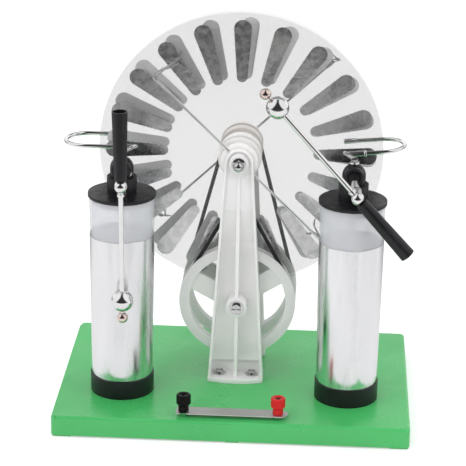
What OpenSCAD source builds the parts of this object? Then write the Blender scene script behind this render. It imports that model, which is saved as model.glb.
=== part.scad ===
// Electrostatic induction generator with two counter-rotating discs.
// The frame stands on Z = 0 with X to the right, Y to the back and the origin
// at the middle of the base. The discs turn about an axle along Y.

/* [Base] */
// Width of the base along X
base_w = 334; // [328:1:400]
// Depth of the base along Y
base_d = 229; // [226:1:280]
// Height of the base's top face over the table
base_h = 20.5; // [18:0.5:30]
// Radius of the base's upright corners
base_corner_r = 5; // [3:0.5:12]
// Radius of the base's top edges
base_edge_r = 2.4; // [1:0.2:2.8]
// Thickness of the moulded base
base_wall = 3; // [3:0.5:4]
// Height of the feet under the rim
foot_h = 1.4; // [1:0.1:2.5]
// Length of the feet at the corners
foot_w = 17; // [12:1:30]
// Depth of the feet
foot_d = 10; // [8:0.5:14]
// Length of the foot in the middle of the front rim
mid_foot_w = 12; // [8:1:30]
// Thickness of the ribs under the base
base_rib_t = 3; // [2:0.5:4]
// Distance of the ribs along Y from the middle
base_rib_x = 30; // [26:0.5:36]
// Height of the rib edges over the table
base_rib_z = 3.4; // [3:0.1:5]

/* [Columns] */
// Height of the disc axle over the table
upper_axle_z = 242.3; // [236:0.5:262]
// Height of the crank axle over the table
lower_axle_z = 97.4; // [94:0.5:104]
// Half width of a column at its foot
column_foot_hw = 26.6; // [25:0.2:32]
// Half width of a column at its rounded top
column_top_hw = 13.4; // [12:0.2:17]
// Distance of the column's front face from the plane between the discs
column_face = 43; // [42.5:0.1:45]
// How far the front edge leans back at the top
column_lean = 3.1; // [0:0.1:3.2]
// How far the front edge of the foot bows out
column_foot_bow = 4.4; // [1:0.2:6]
// Thickness of the column's foot plate
column_foot_t = 4.4; // [3:0.2:6]
// Thickness of the column's side flanges
column_flange_t = 2.3; // [1.6:0.1:3.5]
// Thickness of the column's web
column_web_t = 2.4; // [1.8:0.1:3]
// Width of the rib up the middle of the column
column_rib_w = 3.4; // [2.4:0.2:5]
// How far the rib stands back from the flange edges
column_rib_back = 2.2; // [1.6:0.1:2.3]
// Depth of the column at its foot
column_foot_depth = 21.5; // [20:0.5:24]
// Depth of the column beside the drive wheel
column_mid_depth = 17; // [16:0.1:17.1]
// Depth of the column's top, reckoned from the foot's front face
column_top_depth = 8; // [7:0.1:8.1]
// Height over the drive wheel at which the column begins to thin
column_step_gap = 6; // [4:0.5:10]
// Distance under the disc axle at which the column is thin
column_step_drop = 47; // [42:0.5:50]
// Height of the deep part of the foot over the base
column_heel_h = 13; // [9:0.5:16]
// Radius of the bearing boss round the crank axle
lower_boss_r = 10; // [8.5:0.5:12]
// Radius of the seat round the disc axle
upper_boss_r = 9; // [8.2:0.1:10.5]
// How far the seat of the disc axle stands out in front of the column's foot
upper_seat_out = 2; // [0.5:0.1:2.5]
// Distance of the foot screws from the middle
foot_screw_x = 15.6; // [14:0.2:17]
// Distance of the foot screws behind the column's front face
foot_screw_back = 11.2; // [10.5:0.1:12]
// Radius of the washers under the foot screws
foot_washer_r = 6.2; // [5.5:0.1:6.6]
// Radius of the heads of the foot screws
foot_head_r = 3.5; // [3:0.1:4.5]
// Radius of the thread of the foot screws
foot_screw_r = 2; // [1.5:0.1:2.5]

/* [Discs] */
// Radius of the two discs
disc_r = 135; // [128:1:138]
// Thickness of a disc
disc_t = 3; // [2:0.1:4]
// Distance between the middle planes of the discs
disc_pitch = 9.6; // [8:0.1:12]
// Place of the plane halfway between the discs
disc_mid_y = 20.5; // [18:0.5:24]
// Number of foil sectors on a disc
sector_count = 20; // [16:2:22]
// Radius at which the round head of a sector is centred
sector_head_at = 120.3; // [112:0.1:121]
// Radius at which the round tail of a sector is centred
sector_tail_at = 73.8; // [60:0.1:80]
// Radius of the round head of a sector
sector_head_r = 8.3; // [6:0.1:9]
// Radius of the round tail of a sector
sector_tail_r = 5; // [3:0.1:6]
// Thickness of the foil sectors
sector_t = 0.25; // [0.1:0.05:0.4]
// Angle by which the rear sectors lead the front ones
rear_sector_angle = 3.2; // [0:0.2:9]

/* [Pulleys and belts] */
// Radius of the pulley hubs
pulley_r = 20.3; // [20.2:0.1:22]
// Distance of the pulley's outer face from the middle plane
pulley_face = 26.5; // [26:0.1:27]
// Distance of the belts' planes from the middle plane
belt_plane = 19.5; // [19.3:0.1:19.8]
// Radius of the belt's centre line on a pulley
belt_small_r = 17; // [16:0.1:18.4]
// Radius of the belt's centre line on a drive wheel
belt_large_r = 53.2; // [50:0.1:54]
// Radius of the round belts
belt_r = 1.85; // [1.4:0.05:2]
// Width of the belt grooves
groove_w = 6; // [5.8:0.1:6.2]
// Radius of the spigot that carries a disc
spigot_r = 9.9; // [8:0.1:12]
// Radius of the brass bushes on the disc axle
bush_r = 5; // [4.4:0.1:6]

/* [Drive wheels] */
// Outer radius of a drive wheel
wheel_r = 56; // [55.5:0.1:57]
// Inner radius of the wheel's rim
wheel_inner_r = 46.4; // [43:0.2:47]
// Width of the wheel's rim
wheel_w = 10; // [8.6:0.1:10.4]
// Width of a spoke
spoke_w = 18.6; // [12:0.2:20]
// How far a spoke's middle line stands to the side
spoke_shift = 2.7; // [0:0.1:3.2]
// Thickness of a spoke
spoke_t = 4; // [3:0.2:6]
// Radius of the wheel's hub
wheel_hub_r = 12; // [10.5:0.5:14]
// Radius of the collar behind the hub
wheel_collar_r = 8; // [7:0.5:9]
// Direction of the first of three spokes
spoke_angle = 32; // [20:1:40]

/* [Axles and crank] */
// Radius of the disc axle
upper_axle_r = 3; // [2.5:0.1:3.4]
// Radius of the crank axle
lower_axle_r = 4; // [3.5:0.1:4.5]
// Radius of the running clearance round an axle
run_gap = 0.05; // [0.03:0.01:0.08]
// Length of the crank from the axle to the handle
crank_len = 52; // [44:1:58]
// Thickness of the crank's arm
crank_t = 4; // [3:0.2:5]
// Half width of the crank's arm
crank_hw = 6; // [5:0.2:7.5]
// Length of the crank's handle
handle_len = 36; // [28:1:40]
// Radius of the crank's handle
handle_r = 9; // [7:0.5:10]
// Radius of the crank's eye round the axle
crank_eye_r = 9; // [8:0.5:11]
// Radius of the pin in the crank's handle
crank_pin_r = 3; // [2.5:0.1:3.5]
// Radius of the crank pin's head
crank_pin_head_r = 5; // [4.5:0.1:6]

/* [Neutralizer rods] */
// Radius of the neutralizer's hub
neutral_hub_r = 17.6; // [14:0.2:18.4]
// Thickness of the neutralizer's hub
neutral_hub_t = 4.2; // [3.8:0.1:4.3]
// Radius of the neutralizer rods
neutral_rod_r = 1.2; // [0.9:0.1:1.6]
// Distance from the axle to the bent end of a rod
neutral_reach = 115; // [105:0.5:116]
// Direction of the front rod, seen from the front
front_neutral_angle = 135.8; // [120:0.2:150]
// Direction of the rear rod, seen from the front
rear_neutral_angle = 43.6; // [30:0.2:60]
// Radius of the sleeves that hold the brush wires
brush_sleeve_r = 1.9; // [1.6:0.1:2.2]
// Radius of the brush wires
brush_wire_r = 0.4; // [0.3:0.05:0.6]

/* [Jars] */
// Distance of the jars from the middle
jar_x = 107; // [104:0.5:118]
// Place of the jars along Y
jar_y = -43.3; // [-50:0.1:-42]
// Outer radius of a jar's wall at the bottom
jar_foot_r = 28.45; // [27:0.05:28.5]
// Outer radius of a jar's wall at the top
jar_top_r = 30.3; // [29.6:0.1:30.6]
// Thickness of a jar's wall
jar_wall = 2; // [1.5:0.1:3]
// Height of a jar's rim over the base
jar_h = 195.2; // [180:0.5:196]
// Height of the foil over the base
foil_h = 158; // [140:0.5:165]
// Thickness of the jar's foil
foil_t = 0.3; // [0.1:0.05:0.4]
// Outer radius of the jar's bottom cup
cup_r = 30.1; // [30:0.1:31.5]
// Height of the jar's bottom cup
cup_h = 17.8; // [12:0.2:24]
// Thickness of the cup's floor
cup_floor_t = 3; // [2.6:0.1:4]
// Thickness of the jar's floor
jar_floor_t = 3; // [2:0.2:5]
// Depth of the cap's plug in the jar
cap_plug_h = 6; // [4:0.5:10]
// Radius of the jar's cap
cap_r = 31.7; // [31.4:0.1:33]
// Thickness of the cap's rim
cap_t = 3; // [2.4:0.1:4]
// Radius of the collar on the cap
collar_r = 13.9; // [13:0.1:16]
// Height of the collar on the cap
collar_h = 15.6; // [12:0.2:15.8]
// Radius of the elbow in the collar
elbow_r = 10.9; // [10:0.1:11.5]
// Height of the elbow's middle over the cap
elbow_h = 23.9; // [22:0.1:26]
// Radius of the elbow's port for the conductor's arm
elbow_port_r = 7.4; // [6.6:0.1:8.4]
// Radius of the upright rod in the jar
centre_rod_r = 3; // [2.4:0.1:3.6]
// Height of the upright rod's lower end over the table
centre_rod_z = 70; // [60:1:78]
// Height of the contact spring over the table
spring_z = 80; // [76:1:110]
// Height of the contact spring's ring
spring_h = 8; // [6:0.5:10]
// Radius of the contact spring's ring
spring_r = 5.4; // [4.6:0.1:6.5]
// Thickness of the contact spring's leaves
spring_t = 0.5; // [0.3:0.05:0.6]

/* [Discharge rods] */
// Radius of the conductor's arm
arm_r = 4.2; // [3.6:0.1:4.6]
// Place of the joint balls along Y
lever_y = -87; // [-92:0.5:-86.5]
// How far the left arm comes down to the joint ball
left_arm_drop = 4; // [3:0.2:9]
// How far the right arm comes down to the joint ball
right_arm_drop = 8; // [3:0.2:9]
// How far the arms stand over to the right at the joint ball
arm_shift = 3.4; // [0:0.2:4]
// Radius of the joint balls
joint_ball_r = 6; // [5.5:0.1:7]
// Radius of the pivots in the joint balls
pivot_r = 2; // [1.6:0.1:2.2]
// Radius of the discharge rods
lever_rod_r = 2.3; // [1.8:0.1:2.8]
// Distance from the joint ball to the large ball
large_ball_at = 111; // [95:0.5:112]
// Radius of the large balls
large_ball_r = 10.3; // [8:0.1:11]
// Distance from the large ball to the small ball
small_ball_gap = 16.6; // [16:0.1:18]
// Radius of the small balls
small_ball_r = 5.2; // [4.5:0.1:5.4]
// Radius of the neck between the balls
ball_neck_r = 1.6; // [1.2:0.1:2]
// Distance from the joint ball to the handle's open end
lever_handle_end = 70.8; // [60:0.5:75]
// Radius of the handle at the joint ball
lever_handle_r1 = 5.8; // [5.2:0.1:6.4]
// Radius of the handle at its open end
lever_handle_r2 = 7.2; // [6.5:0.1:8]
// Length of the handle's solid end
handle_plug = 12; // [8:0.5:20]
// Direction of the left rod, seen from the front
left_rod_angle = -89.4; // [-95:0.2:-85]
// Direction of the right rod, seen from the front
right_rod_angle = 131.8; // [128:0.2:150]

/* [Collector combs] */
// Radius of the comb's wire
comb_wire_r = 2; // [1.5:0.1:2.4]
// Radius of the comb's round end
comb_bend_r = 20.3; // [18:0.1:23]
// Length of a comb's straight legs
comb_leg = 37; // [30:0.5:40]
// How far the left comb's round end reaches
left_comb_reach = 166.8; // [160:0.2:172]
// How far the right comb's round end reaches
right_comb_reach = 154.8; // [152:0.2:160]
// Height of the combs over the disc axle
comb_lift = 6; // [5:0.1:8]
// Place along X where a comb's wire comes to the disc
comb_corner_x = 101; // [97:0.5:104]
// Radius of the comb's flat eye under the elbow's nut
comb_eye_r = 4.8; // [4.2:0.1:5.4]
// Thickness of the comb's eye
comb_eye_t = 2.5; // [2:0.1:2.6]
// Length of the sleeves on a comb
comb_sleeve_len = 15; // [10:0.5:18]
// Thickness of the sleeves' wall
comb_sleeve_wall = 0.6; // [0.4:0.1:0.9]
// Rise of the right comb towards its round end
right_comb_tilt = 5; // [0:0.5:6]

/* [Screws and nuts] */
// Corner radius of the acorn nuts on the disc axle
nut_r = 5.9; // [5.8:0.1:6.6]
// Height of the acorn nuts' hexagon
nut_h = 6.4; // [5.6:0.1:6.8]
// Radius of the acorn nuts' dome
nut_dome_r = 4.9; // [4.6:0.1:5]
// Radius of the washers under the acorn nuts
nut_washer_r = 6.6; // [6.4:0.1:8]
// Thickness of the washers
washer_t = 1; // [0.8:0.1:1.2]
// Height of the heads of the foot screws
foot_head_h = 2.6; // [2.2:0.1:3.4]
// Width of the slots in the screw heads
head_slot_w = 1; // [0.8:0.1:1.3]
// Radius of the thread of the crank axle's end screws
end_screw_r = 2; // [1.6:0.1:2.4]
// Length of the thread of the end screws
end_screw_len = 11; // [8:0.5:13]
// Radius of the heads of the end screws
end_head_r = 4.6; // [4:0.1:5.4]
// Height of the heads of the end screws
end_head_h = 3.4; // [2.8:0.1:4]
// Radius of the washers under the end screws
end_washer_r = 6.5; // [5.8:0.1:7.5]
// Radius of the grub screws in the drive wheels
grub_r = 1.5; // [1.2:0.1:1.6]
// Corner radius of the nuts under the base
base_nut_r = 4; // [3.6:0.1:4.8]
// Height of the nuts under the base
base_nut_h = 3; // [2.4:0.1:3.4]
// Radius of the set screws in the elbows
set_screw_r = 1.9; // [1.5:0.1:2.1]
// Radius of the screws on top of the elbows
top_screw_r = 1.5; // [1.2:0.1:1.7]
// Corner radius of the nuts on top of the elbows
top_nut_r = 3.3; // [2.8:0.1:3.8]
// Height of the nuts on top of the elbows
top_nut_h = 2.6; // [2.2:0.1:3.2]

/* [Terminals] */
// Distance of the terminals from the middle
terminal_x = 44; // [40:0.5:48]
// Distance of the terminals behind the base's front edge
terminal_edge = 15; // [13.5:0.5:18.5]
// Radius of a terminal knob's head
knob_r = 6.8; // [6:0.1:7.5]
// Radius of a terminal knob's neck
knob_neck_r = 4.9; // [4.4:0.1:5.4]
// Height of a terminal knob
knob_h = 16; // [14:0.5:18]
// Length of a terminal knob's neck
knob_neck_h = 5.4; // [4.4:0.2:6.4]
// Height of the taper between a knob's neck and head
knob_taper_h = 2; // [1.4:0.1:3]
// Height of the nut under the link bar
terminal_nut_h = 3.4; // [3:0.1:4.5]
// Corner radius of the nut under the link bar
terminal_nut_r = 5.4; // [4.8:0.1:6]
// Radius of the terminal studs
stud_r = 2; // [1.6:0.1:2.4]
// Radius of the post inside a terminal knob
post_r = 3; // [2.8:0.05:3.3]
// Radius of the plug socket in the post
socket_r = 2.05; // [2:0.05:2.1]
// Depth of the plug socket
socket_depth = 10; // [8:0.5:11]
// Width of the link bar
link_w = 15; // [12:0.2:16]
// Thickness of the link bar
link_t = 1; // [0.8:0.1:1.6]
// Length of the link bar beyond the black terminal
link_end = 6.6; // [5:0.2:9]
// Width of the link bar's open slot
link_slot_w = 5.6; // [4.4:0.2:6]

// Width of the metal strips under the base
strip_w = 8; // [6:0.5:10]
// Thickness of the metal strips
strip_t = 1; // [0.8:0.1:1.5]

/* [Hidden] */
$fn = 72;

// Derived places and clearances
gap = 0.3;
thin_gap = 0.05;
tangent_pull = 0.999;
front_y = disc_mid_y - column_face;
column_top_z = upper_axle_z + column_top_hw;
foot_top_z = base_h + column_foot_t;
boss_y = front_y + 2;
upper_seat_y = front_y - upper_seat_out;
axle_end_y = upper_seat_y - nut_h - 0.6;
wheel_y = disc_mid_y - belt_plane;
wheel_front_y = front_y + column_mid_depth + gap;
pulley_y = disc_mid_y - pulley_face;
disc_front_y = disc_mid_y - disc_pitch / 2 - disc_t / 2;
disc_back_y = disc_front_y + disc_t;
neutral_front_y = front_y + column_top_depth + gap;
neutral_back_y = neutral_front_y + neutral_hub_t;
neutral_rod_y = neutral_front_y + neutral_rod_r + 0.2;
brush_tip_y = disc_front_y - sector_t - gap - brush_wire_r;
front_brush_1 = [-11, -22];
front_brush_2 = [-12, -3];
rear_brush_1 = [9, 5];
rear_brush_2 = [-15, 4];
jar_rim_z = base_h + jar_h;
cap_top_z = jar_rim_z + cap_t;
elbow_z = cap_top_z + elbow_h;
foil_z = base_h + foil_h;
cup_floor_z = base_h + cup_floor_t;
jar_floor_z = cup_floor_z + foil_t + thin_gap;
jar_inside_z = jar_floor_z + jar_floor_t;
link_z = base_h + terminal_nut_h + 0.15;
knob_z = link_z + link_t + 0.15;
knob_top_z = knob_z + knob_h;
under_z = base_h - base_wall;
strip_z = under_z - strip_t;
boss_z = base_h - 12.5;
elbow_top_z = elbow_z + elbow_r - 1;
comb_z = upper_axle_z + comb_lift;
terminal_y = terminal_edge - base_d / 2;
post_top_z = knob_top_z - 1.2;

// Cylinder along Y between two planes
module ycyl(r, y0, y1, z, x = 0) {
    translate([x, y1, z]) rotate([90, 0, 0]) cylinder(r = r, h = y1 - y0);
}

// Tube along Y between two planes
module ytube(r, bore, y0, y1, z, x = 0) {
    difference() {
        ycyl(r, y0, y1, z, x);
        ycyl(bore, y0 - 1, y1 + 1, z, x);
    }
}

// Round rod between two points
module rod(p, q, r) {
    d = q - p;
    translate(p)
        rotate([0, acos(d[2] / norm(d)), atan2(d[1], d[0])])
            cylinder(r = r, h = norm(d));
}

// Round knee where two rods of one radius meet
module knee(p, r) {
    translate(p) sphere(r = r * 1.02);
}

// The same with its poles along X
module side_knee(p, r) {
    translate(p) rotate([0, 90, 0]) sphere(r = r * 1.02);
}

// Bent wire through a row of points, with round knees
module wire(points, r) {
    for (i = [0 : len(points) - 2]) rod(points[i], points[i + 1], r);
    for (i = [1 : len(points) - 2]) knee(points[i], r);
}

// The mirror image of a front piece at the back of the machine
module at_back() {
    translate([0, 2 * disc_mid_y, 0]) mirror([0, 1, 0]) children();
}

// A flat shape in the plane of X and Z, between two planes along Y
module slab_xz(y0, y1) {
    translate([0, y1, 0]) rotate([90, 0, 0]) linear_extrude(y1 - y0) children();
}

// A flat shape in the plane of Y and Z, between two planes along X
module slab_yz(x0, x1) {
    translate([x0, 0, 0]) rotate([90, 0, 90]) linear_extrude(x1 - x0) children();
}

// Rectangle with round corners
module round_rect(w, d, r) {
    square([w - 2 * r, d], center = true);
    square([w, d - 2 * r], center = true);
    for (x = [-1, 1]) for (y = [-1, 1])
        translate([x * (w / 2 - r), y * (d / 2 - r)]) circle(r = r);
}

// Base
module base_skin() {
    e = base_edge_r;
    translate([0, 0, foot_h]) linear_extrude(base_h - e - foot_h) round_rect(base_w, base_d, base_corner_r);
    translate([0, 0, base_h - e])
        linear_extrude(e) round_rect(base_w - 2 * e, base_d - 2 * e, base_corner_r - e);
    for (x = [-1, 1])
        ycyl(e, -base_d / 2 + base_corner_r, base_d / 2 - base_corner_r, base_h - e, x * (base_w / 2 - e));
    for (y = [-1, 1])
        translate([-base_w / 2 + base_corner_r, y * (base_d / 2 - e), base_h - e])
            rotate([0, 90, 0]) cylinder(r = e, h = base_w - 2 * base_corner_r);
    for (x = [-1, 1]) for (y = [-1, 1])
        translate([x * (base_w / 2 - base_corner_r), y * (base_d / 2 - base_corner_r), base_h - e])
            rotate_extrude() translate([base_corner_r - e, 0]) circle(r = e);
}

module base_inside() {
    round_rect(base_w - 2 * base_wall, base_d - 2 * base_wall, base_corner_r - base_wall);
}

module at_foot_screws() {
    for (x = [-foot_screw_x, foot_screw_x]) for (y = [foot_screw_y(), 2 * disc_mid_y - foot_screw_y()])
        translate([x, y, 0]) children();
}

// Top of the base with its rounded edges
module base_plate() {
    color([0.4, 0.77, 0.46]) difference() {
        intersection() {
            base_skin();
            translate([-base_w, -base_d, under_z]) cube([2 * base_w, 2 * base_d, base_wall + 1]);
        }
        at_foot_screws() cylinder(r = foot_screw_r + thin_gap, h = base_h + 1);
        for (x = [-jar_x, jar_x])
            translate([x, jar_y, 0]) cylinder(r = stud_r + 0.1, h = base_h + 1);
        for (x = [-terminal_x, terminal_x])
            translate([x, terminal_y, 0]) cylinder(r = stud_r + 0.1, h = base_h + 1);
    }
}

module foot_block(x0, y0, w) {
    translate([x0, y0, 0]) cube([w, foot_d, under_z]);
}

// Upright rim of the base with the feet inside its corners
module base_rim() {
    x1 = base_w / 2 - base_wall / 2;
    y1 = base_d / 2 - base_wall / 2;
    color([0.4, 0.77, 0.46]) {
        translate([0, 0, foot_h]) linear_extrude(under_z - foot_h) difference() {
            round_rect(base_w, base_d, base_corner_r);
            base_inside();
        }
        for (x = [-x1, x1 - foot_w]) for (y = [-y1, y1 - foot_d]) foot_block(x, y, foot_w);
        foot_block(2 - mid_foot_w / 2, -y1, mid_foot_w);
    }
}

// Ribs and screw bosses under the plate
module base_ribs() {
    x1 = base_w / 2 - base_wall;
    y1 = base_d / 2 - base_wall;
    rib_y = 25;
    rib_h = under_z - base_rib_z;
    color([0.4, 0.77, 0.46]) difference() {
        union() {
            for (x = [-base_rib_x, base_rib_x])
                translate([x - base_rib_t / 2, -y1, base_rib_z]) cube([base_rib_t, 2 * y1, rib_h]);
            translate([-x1, rib_y - base_rib_t / 2, base_rib_z]) cube([2 * x1, base_rib_t, rib_h]);
            at_foot_screws() translate([0, 0, boss_z])
                cylinder(r = foot_screw_r + base_wall, h = under_z - boss_z);
        }
        at_foot_screws() translate([0, 0, boss_z + 1]) cylinder(r = foot_screw_r + thin_gap, h = base_h);
    }
}

function foot_screw_y() = front_y + foot_screw_back;

// Columns
module column_outline(hw, r) {
    dz = upper_axle_z - base_h;
    lean = acos(r / norm([hw, dz])) - atan2(dz, hw);
    tx = r * cos(lean) * tangent_pull;
    tz = upper_axle_z + r * sin(lean);
    polygon([[-hw, base_h], [hw, base_h], [tx, tz], [-tx, tz]]);
    translate([0, upper_axle_z]) circle(r = r);
}

// Side view of the column with its front and back edges moved
module column_side(front_shift, back_shift, z0) {
    z1 = column_top_z + 1;
    heel_z = base_h + column_heel_h;
    mid_y = front_y + column_mid_depth;
    foot_back_y = front_y + column_foot_depth;
    top_back_y = front_y + column_top_depth;
    polygon([
        [front_y + front_shift, z0],
        [foot_back_y + back_shift, z0],
        [foot_back_y + back_shift, heel_z],
        [mid_y + back_shift, heel_z + foot_back_y - mid_y],
        [mid_y + back_shift, lower_axle_z + wheel_r + column_step_gap],
        [top_back_y + back_shift, upper_axle_z - column_step_drop],
        [top_back_y + back_shift, z1],
        [front_y + column_lean + front_shift, z1]
    ]);
}

module column() {
    f = column_flange_t;
    y0 = front_y - 20;
    y1 = front_y + column_foot_depth;
    bow_r = (pow(column_foot_hw, 2) + pow(column_foot_bow, 2)) / (2 * column_foot_bow);
    color([0.93, 0.93, 0.91]) difference() {
        union() {
            difference() {
                intersection() {
                    slab_xz(y0, y1 + 2) column_outline(column_foot_hw, column_top_hw);
                    slab_yz(-column_foot_hw - 1, column_foot_hw + 1) column_side(0, 0, base_h);
                }
                intersection() {
                    slab_xz(y0 - 1, y1 + 3) column_outline(column_foot_hw - f, column_top_hw - f);
                    slab_yz(-column_foot_hw - 1, column_foot_hw + 1)
                        column_side(-25, -column_web_t, foot_top_z);
                }
            }
            intersection() {
                slab_yz(-column_rib_w / 2, column_rib_w / 2) column_side(column_rib_back, -1, base_h + 1);
                translate([-column_rib_w, y0, base_h])
                    cube([2 * column_rib_w, y1 - y0, upper_axle_z - base_h - upper_boss_r / 2]);
            }
            ycyl(lower_boss_r, boss_y, front_y + column_mid_depth - 1, lower_axle_z);
            ycyl(upper_boss_r, upper_seat_y, front_y + column_top_depth - 0.5, upper_axle_z);
            intersection() {
                translate([-column_foot_hw, front_y - 10, base_h])
                    cube([2 * column_foot_hw, column_foot_depth + 10, column_foot_t]);
                translate([0, front_y - column_foot_bow + bow_r, base_h - 1])
                    cylinder(r = bow_r, h = column_foot_t + 2);
            }
        }
        ycyl(lower_axle_r + run_gap, y0, y1 + 1, lower_axle_z);
        ycyl(upper_axle_r + run_gap, y0, y1 + 1, upper_axle_z);
        for (x = [-foot_screw_x, foot_screw_x])
            translate([x, foot_screw_y(), base_h - 1])
                cylinder(r = foot_screw_r + 0.2, h = column_foot_t + 2);
    }
}

module front_column() { column(); }

module rear_column() { at_back() column(); }

module foot_screw_pair() {
    head_z = foot_top_z + washer_t;
    for (x = [-foot_screw_x, foot_screw_x]) translate([x, foot_screw_y(), 0]) {
        translate([0, 0, foot_top_z]) difference() {
            cylinder(r = foot_washer_r, h = washer_t);
            translate([0, 0, -1]) cylinder(r = foot_screw_r + 0.2, h = washer_t + 2);
        }
        translate([0, 0, boss_z + 2]) cylinder(r = foot_screw_r, h = head_z - boss_z - 1);
        translate([0, 0, head_z]) difference() {
            cylinder(r = foot_head_r, h = foot_head_h);
            for (a = [0, 90]) rotate(a) translate([-foot_head_r - 1, -head_slot_w / 2, foot_head_h - 1])
                cube([2 * foot_head_r + 2, head_slot_w, 2]);
        }
    }
}

module column_screws() {
    color([0.75, 0.75, 0.76]) {
        foot_screw_pair();
        at_back() foot_screw_pair();
    }
}

// Disc axle and its parts
module upper_axle() {
    color([0.72, 0.72, 0.73]) ycyl(upper_axle_r, axle_end_y, 2 * disc_mid_y - axle_end_y, upper_axle_z);
}

module acorn_nut() {
    difference() {
        union() {
            ycyl(nut_washer_r, upper_seat_y - washer_t, upper_seat_y, upper_axle_z);
            translate([0, upper_seat_y, upper_axle_z]) rotate([90, 30, 0])
                cylinder(r = nut_r, h = nut_h, $fn = 6);
            translate([0, upper_seat_y - nut_h + 0.4, upper_axle_z]) sphere(r = nut_dome_r);
        }
        ycyl(upper_axle_r + thin_gap, axle_end_y - 0.3, upper_seat_y + 1, upper_axle_z);
    }
}

module upper_axle_nuts() {
    color([0.75, 0.75, 0.76]) {
        acorn_nut();
        at_back() acorn_nut();
    }
}

module disc_spacer() {
    half = disc_pitch / 2 - disc_t / 2 - 1;
    color([0.72, 0.6, 0.3])
        ytube(bush_r, upper_axle_r + run_gap, disc_mid_y - half, disc_mid_y + half, upper_axle_z);
}

module disc() {
    color([0.86, 0.9, 0.92, 0.35])
        ytube(disc_r, spigot_r + thin_gap, disc_front_y, disc_back_y, upper_axle_z);
}

module front_disc() { disc(); }

module rear_disc() { at_back() disc(); }

module sector_shape() {
    lean = asin((sector_head_r - sector_tail_r) / (sector_head_at - sector_tail_at));
    hx = sector_head_at - sector_head_r * sin(lean);
    tx = sector_tail_at - sector_tail_r * sin(lean);
    hy = sector_head_r * cos(lean);
    ty = sector_tail_r * cos(lean);
    polygon([[tx, -ty], [hx, -hy], [hx, hy], [tx, ty]]);
    translate([sector_head_at, 0]) circle(r = sector_head_r);
    translate([sector_tail_at, 0]) circle(r = sector_tail_r);
}

module sectors(first) {
    color([0.4, 0.4, 0.42]) translate([0, 0, upper_axle_z])
        slab_xz(disc_front_y - sector_t, disc_front_y)
            for (i = [0 : sector_count - 1]) rotate(first + i * 360 / sector_count) sector_shape();
}

module front_sectors() { sectors(90); }

module rear_sectors() { at_back() sectors(90 - rear_sector_angle); }

module pulley() {
    groove_r = belt_small_r - belt_r - gap;
    color([0.95, 0.95, 0.93]) difference() {
        union() {
            ycyl(pulley_r, pulley_y, disc_front_y, upper_axle_z);
            ycyl(spigot_r, disc_front_y - 1, disc_back_y + 0.3, upper_axle_z);
        }
        ytube(pulley_r + 5, groove_r, wheel_y - groove_w / 2, wheel_y + groove_w / 2, upper_axle_z);
        ycyl(bush_r + thin_gap, pulley_y - 1, disc_back_y + 1, upper_axle_z);
    }
}

module front_pulley() { pulley(); }

module rear_pulley() { at_back() pulley(); }

module pulley_bush() {
    color([0.72, 0.6, 0.3])
        ytube(bush_r, upper_axle_r + run_gap, neutral_back_y + gap, disc_back_y + 0.7, upper_axle_z);
}

module front_pulley_bush() { pulley_bush(); }

module rear_pulley_bush() { at_back() pulley_bush(); }

// Crank axle and its parts
module drive_wheel() {
    groove_r = belt_large_r - belt_r - gap;
    collar_y = disc_front_y - 1;
    color([0.95, 0.95, 0.93]) difference() {
        union() {
            difference() {
                ytube(wheel_r, wheel_inner_r, wheel_y - wheel_w / 2, wheel_y + wheel_w / 2, lower_axle_z);
                ytube(wheel_r + 5, groove_r, wheel_y - groove_w / 2, wheel_y + groove_w / 2, lower_axle_z);
            }
            translate([0, 0, lower_axle_z]) slab_xz(wheel_y - spoke_t / 2, wheel_y + spoke_t / 2)
                intersection() {
                    circle(r = wheel_inner_r + 1);
                    for (i = [0 : 2]) rotate(spoke_angle + i * 120)
                        translate([0, spoke_shift - spoke_w / 2]) square([wheel_inner_r + 5, spoke_w]);
                }
            ycyl(wheel_hub_r, wheel_front_y, wheel_y + wheel_w / 2 + 1, lower_axle_z);
            ycyl(wheel_collar_r, wheel_y, collar_y, lower_axle_z);
        }
        ycyl(lower_axle_r + thin_gap, wheel_front_y - 1, collar_y + 1, lower_axle_z);
        translate([0, collar_y - 2 * grub_r - 0.2, lower_axle_z - wheel_collar_r - 1])
            cylinder(r = grub_r + thin_gap, h = wheel_collar_r);
    }
}

module front_drive_wheel() { drive_wheel(); }

module rear_drive_wheel() { at_back() drive_wheel(); }

module wheel_screw() {
    translate([0, disc_front_y - 2 * grub_r - 1.2, lower_axle_z - wheel_collar_r])
        cylinder(r = grub_r, h = wheel_collar_r - lower_axle_r - thin_gap);
}

module drive_wheel_screws() {
    color([0.6, 0.6, 0.62]) {
        wheel_screw();
        at_back() wheel_screw();
    }
}

module lower_axle() {
    y0 = boss_y - gap;
    color([0.72, 0.72, 0.73]) difference() {
        ycyl(lower_axle_r, y0, crank_back_y(), lower_axle_z);
        ycyl(end_screw_r + thin_gap, y0 - 1, y0 + end_screw_len + 1, lower_axle_z);
        ycyl(end_screw_r + thin_gap, crank_back_y() - end_screw_len - 1, crank_back_y() + 1, lower_axle_z);
    }
}

function crank_y() = 2 * disc_mid_y - front_y + 1;

function crank_back_y() = crank_y() + crank_t;

// Screw into the end of the crank axle, its head towards the front
module axle_screw(y) {
    head_y = y - washer_t;
    slot_y = head_y - end_head_h - 1;
    ytube(end_washer_r, end_screw_r + 0.2, head_y, y, lower_axle_z);
    difference() {
        union() {
            ycyl(end_head_r, head_y - end_head_h, head_y, lower_axle_z);
            ycyl(end_screw_r, head_y - 1, y + end_screw_len, lower_axle_z);
        }
        translate([-end_head_r - 1, slot_y, lower_axle_z - head_slot_w / 2])
            cube([2 * end_head_r + 2, 2, head_slot_w]);
        translate([-head_slot_w / 2, slot_y, lower_axle_z - end_head_r - 1])
            cube([head_slot_w, 2, 2 * end_head_r + 2]);
    }
}

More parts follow.
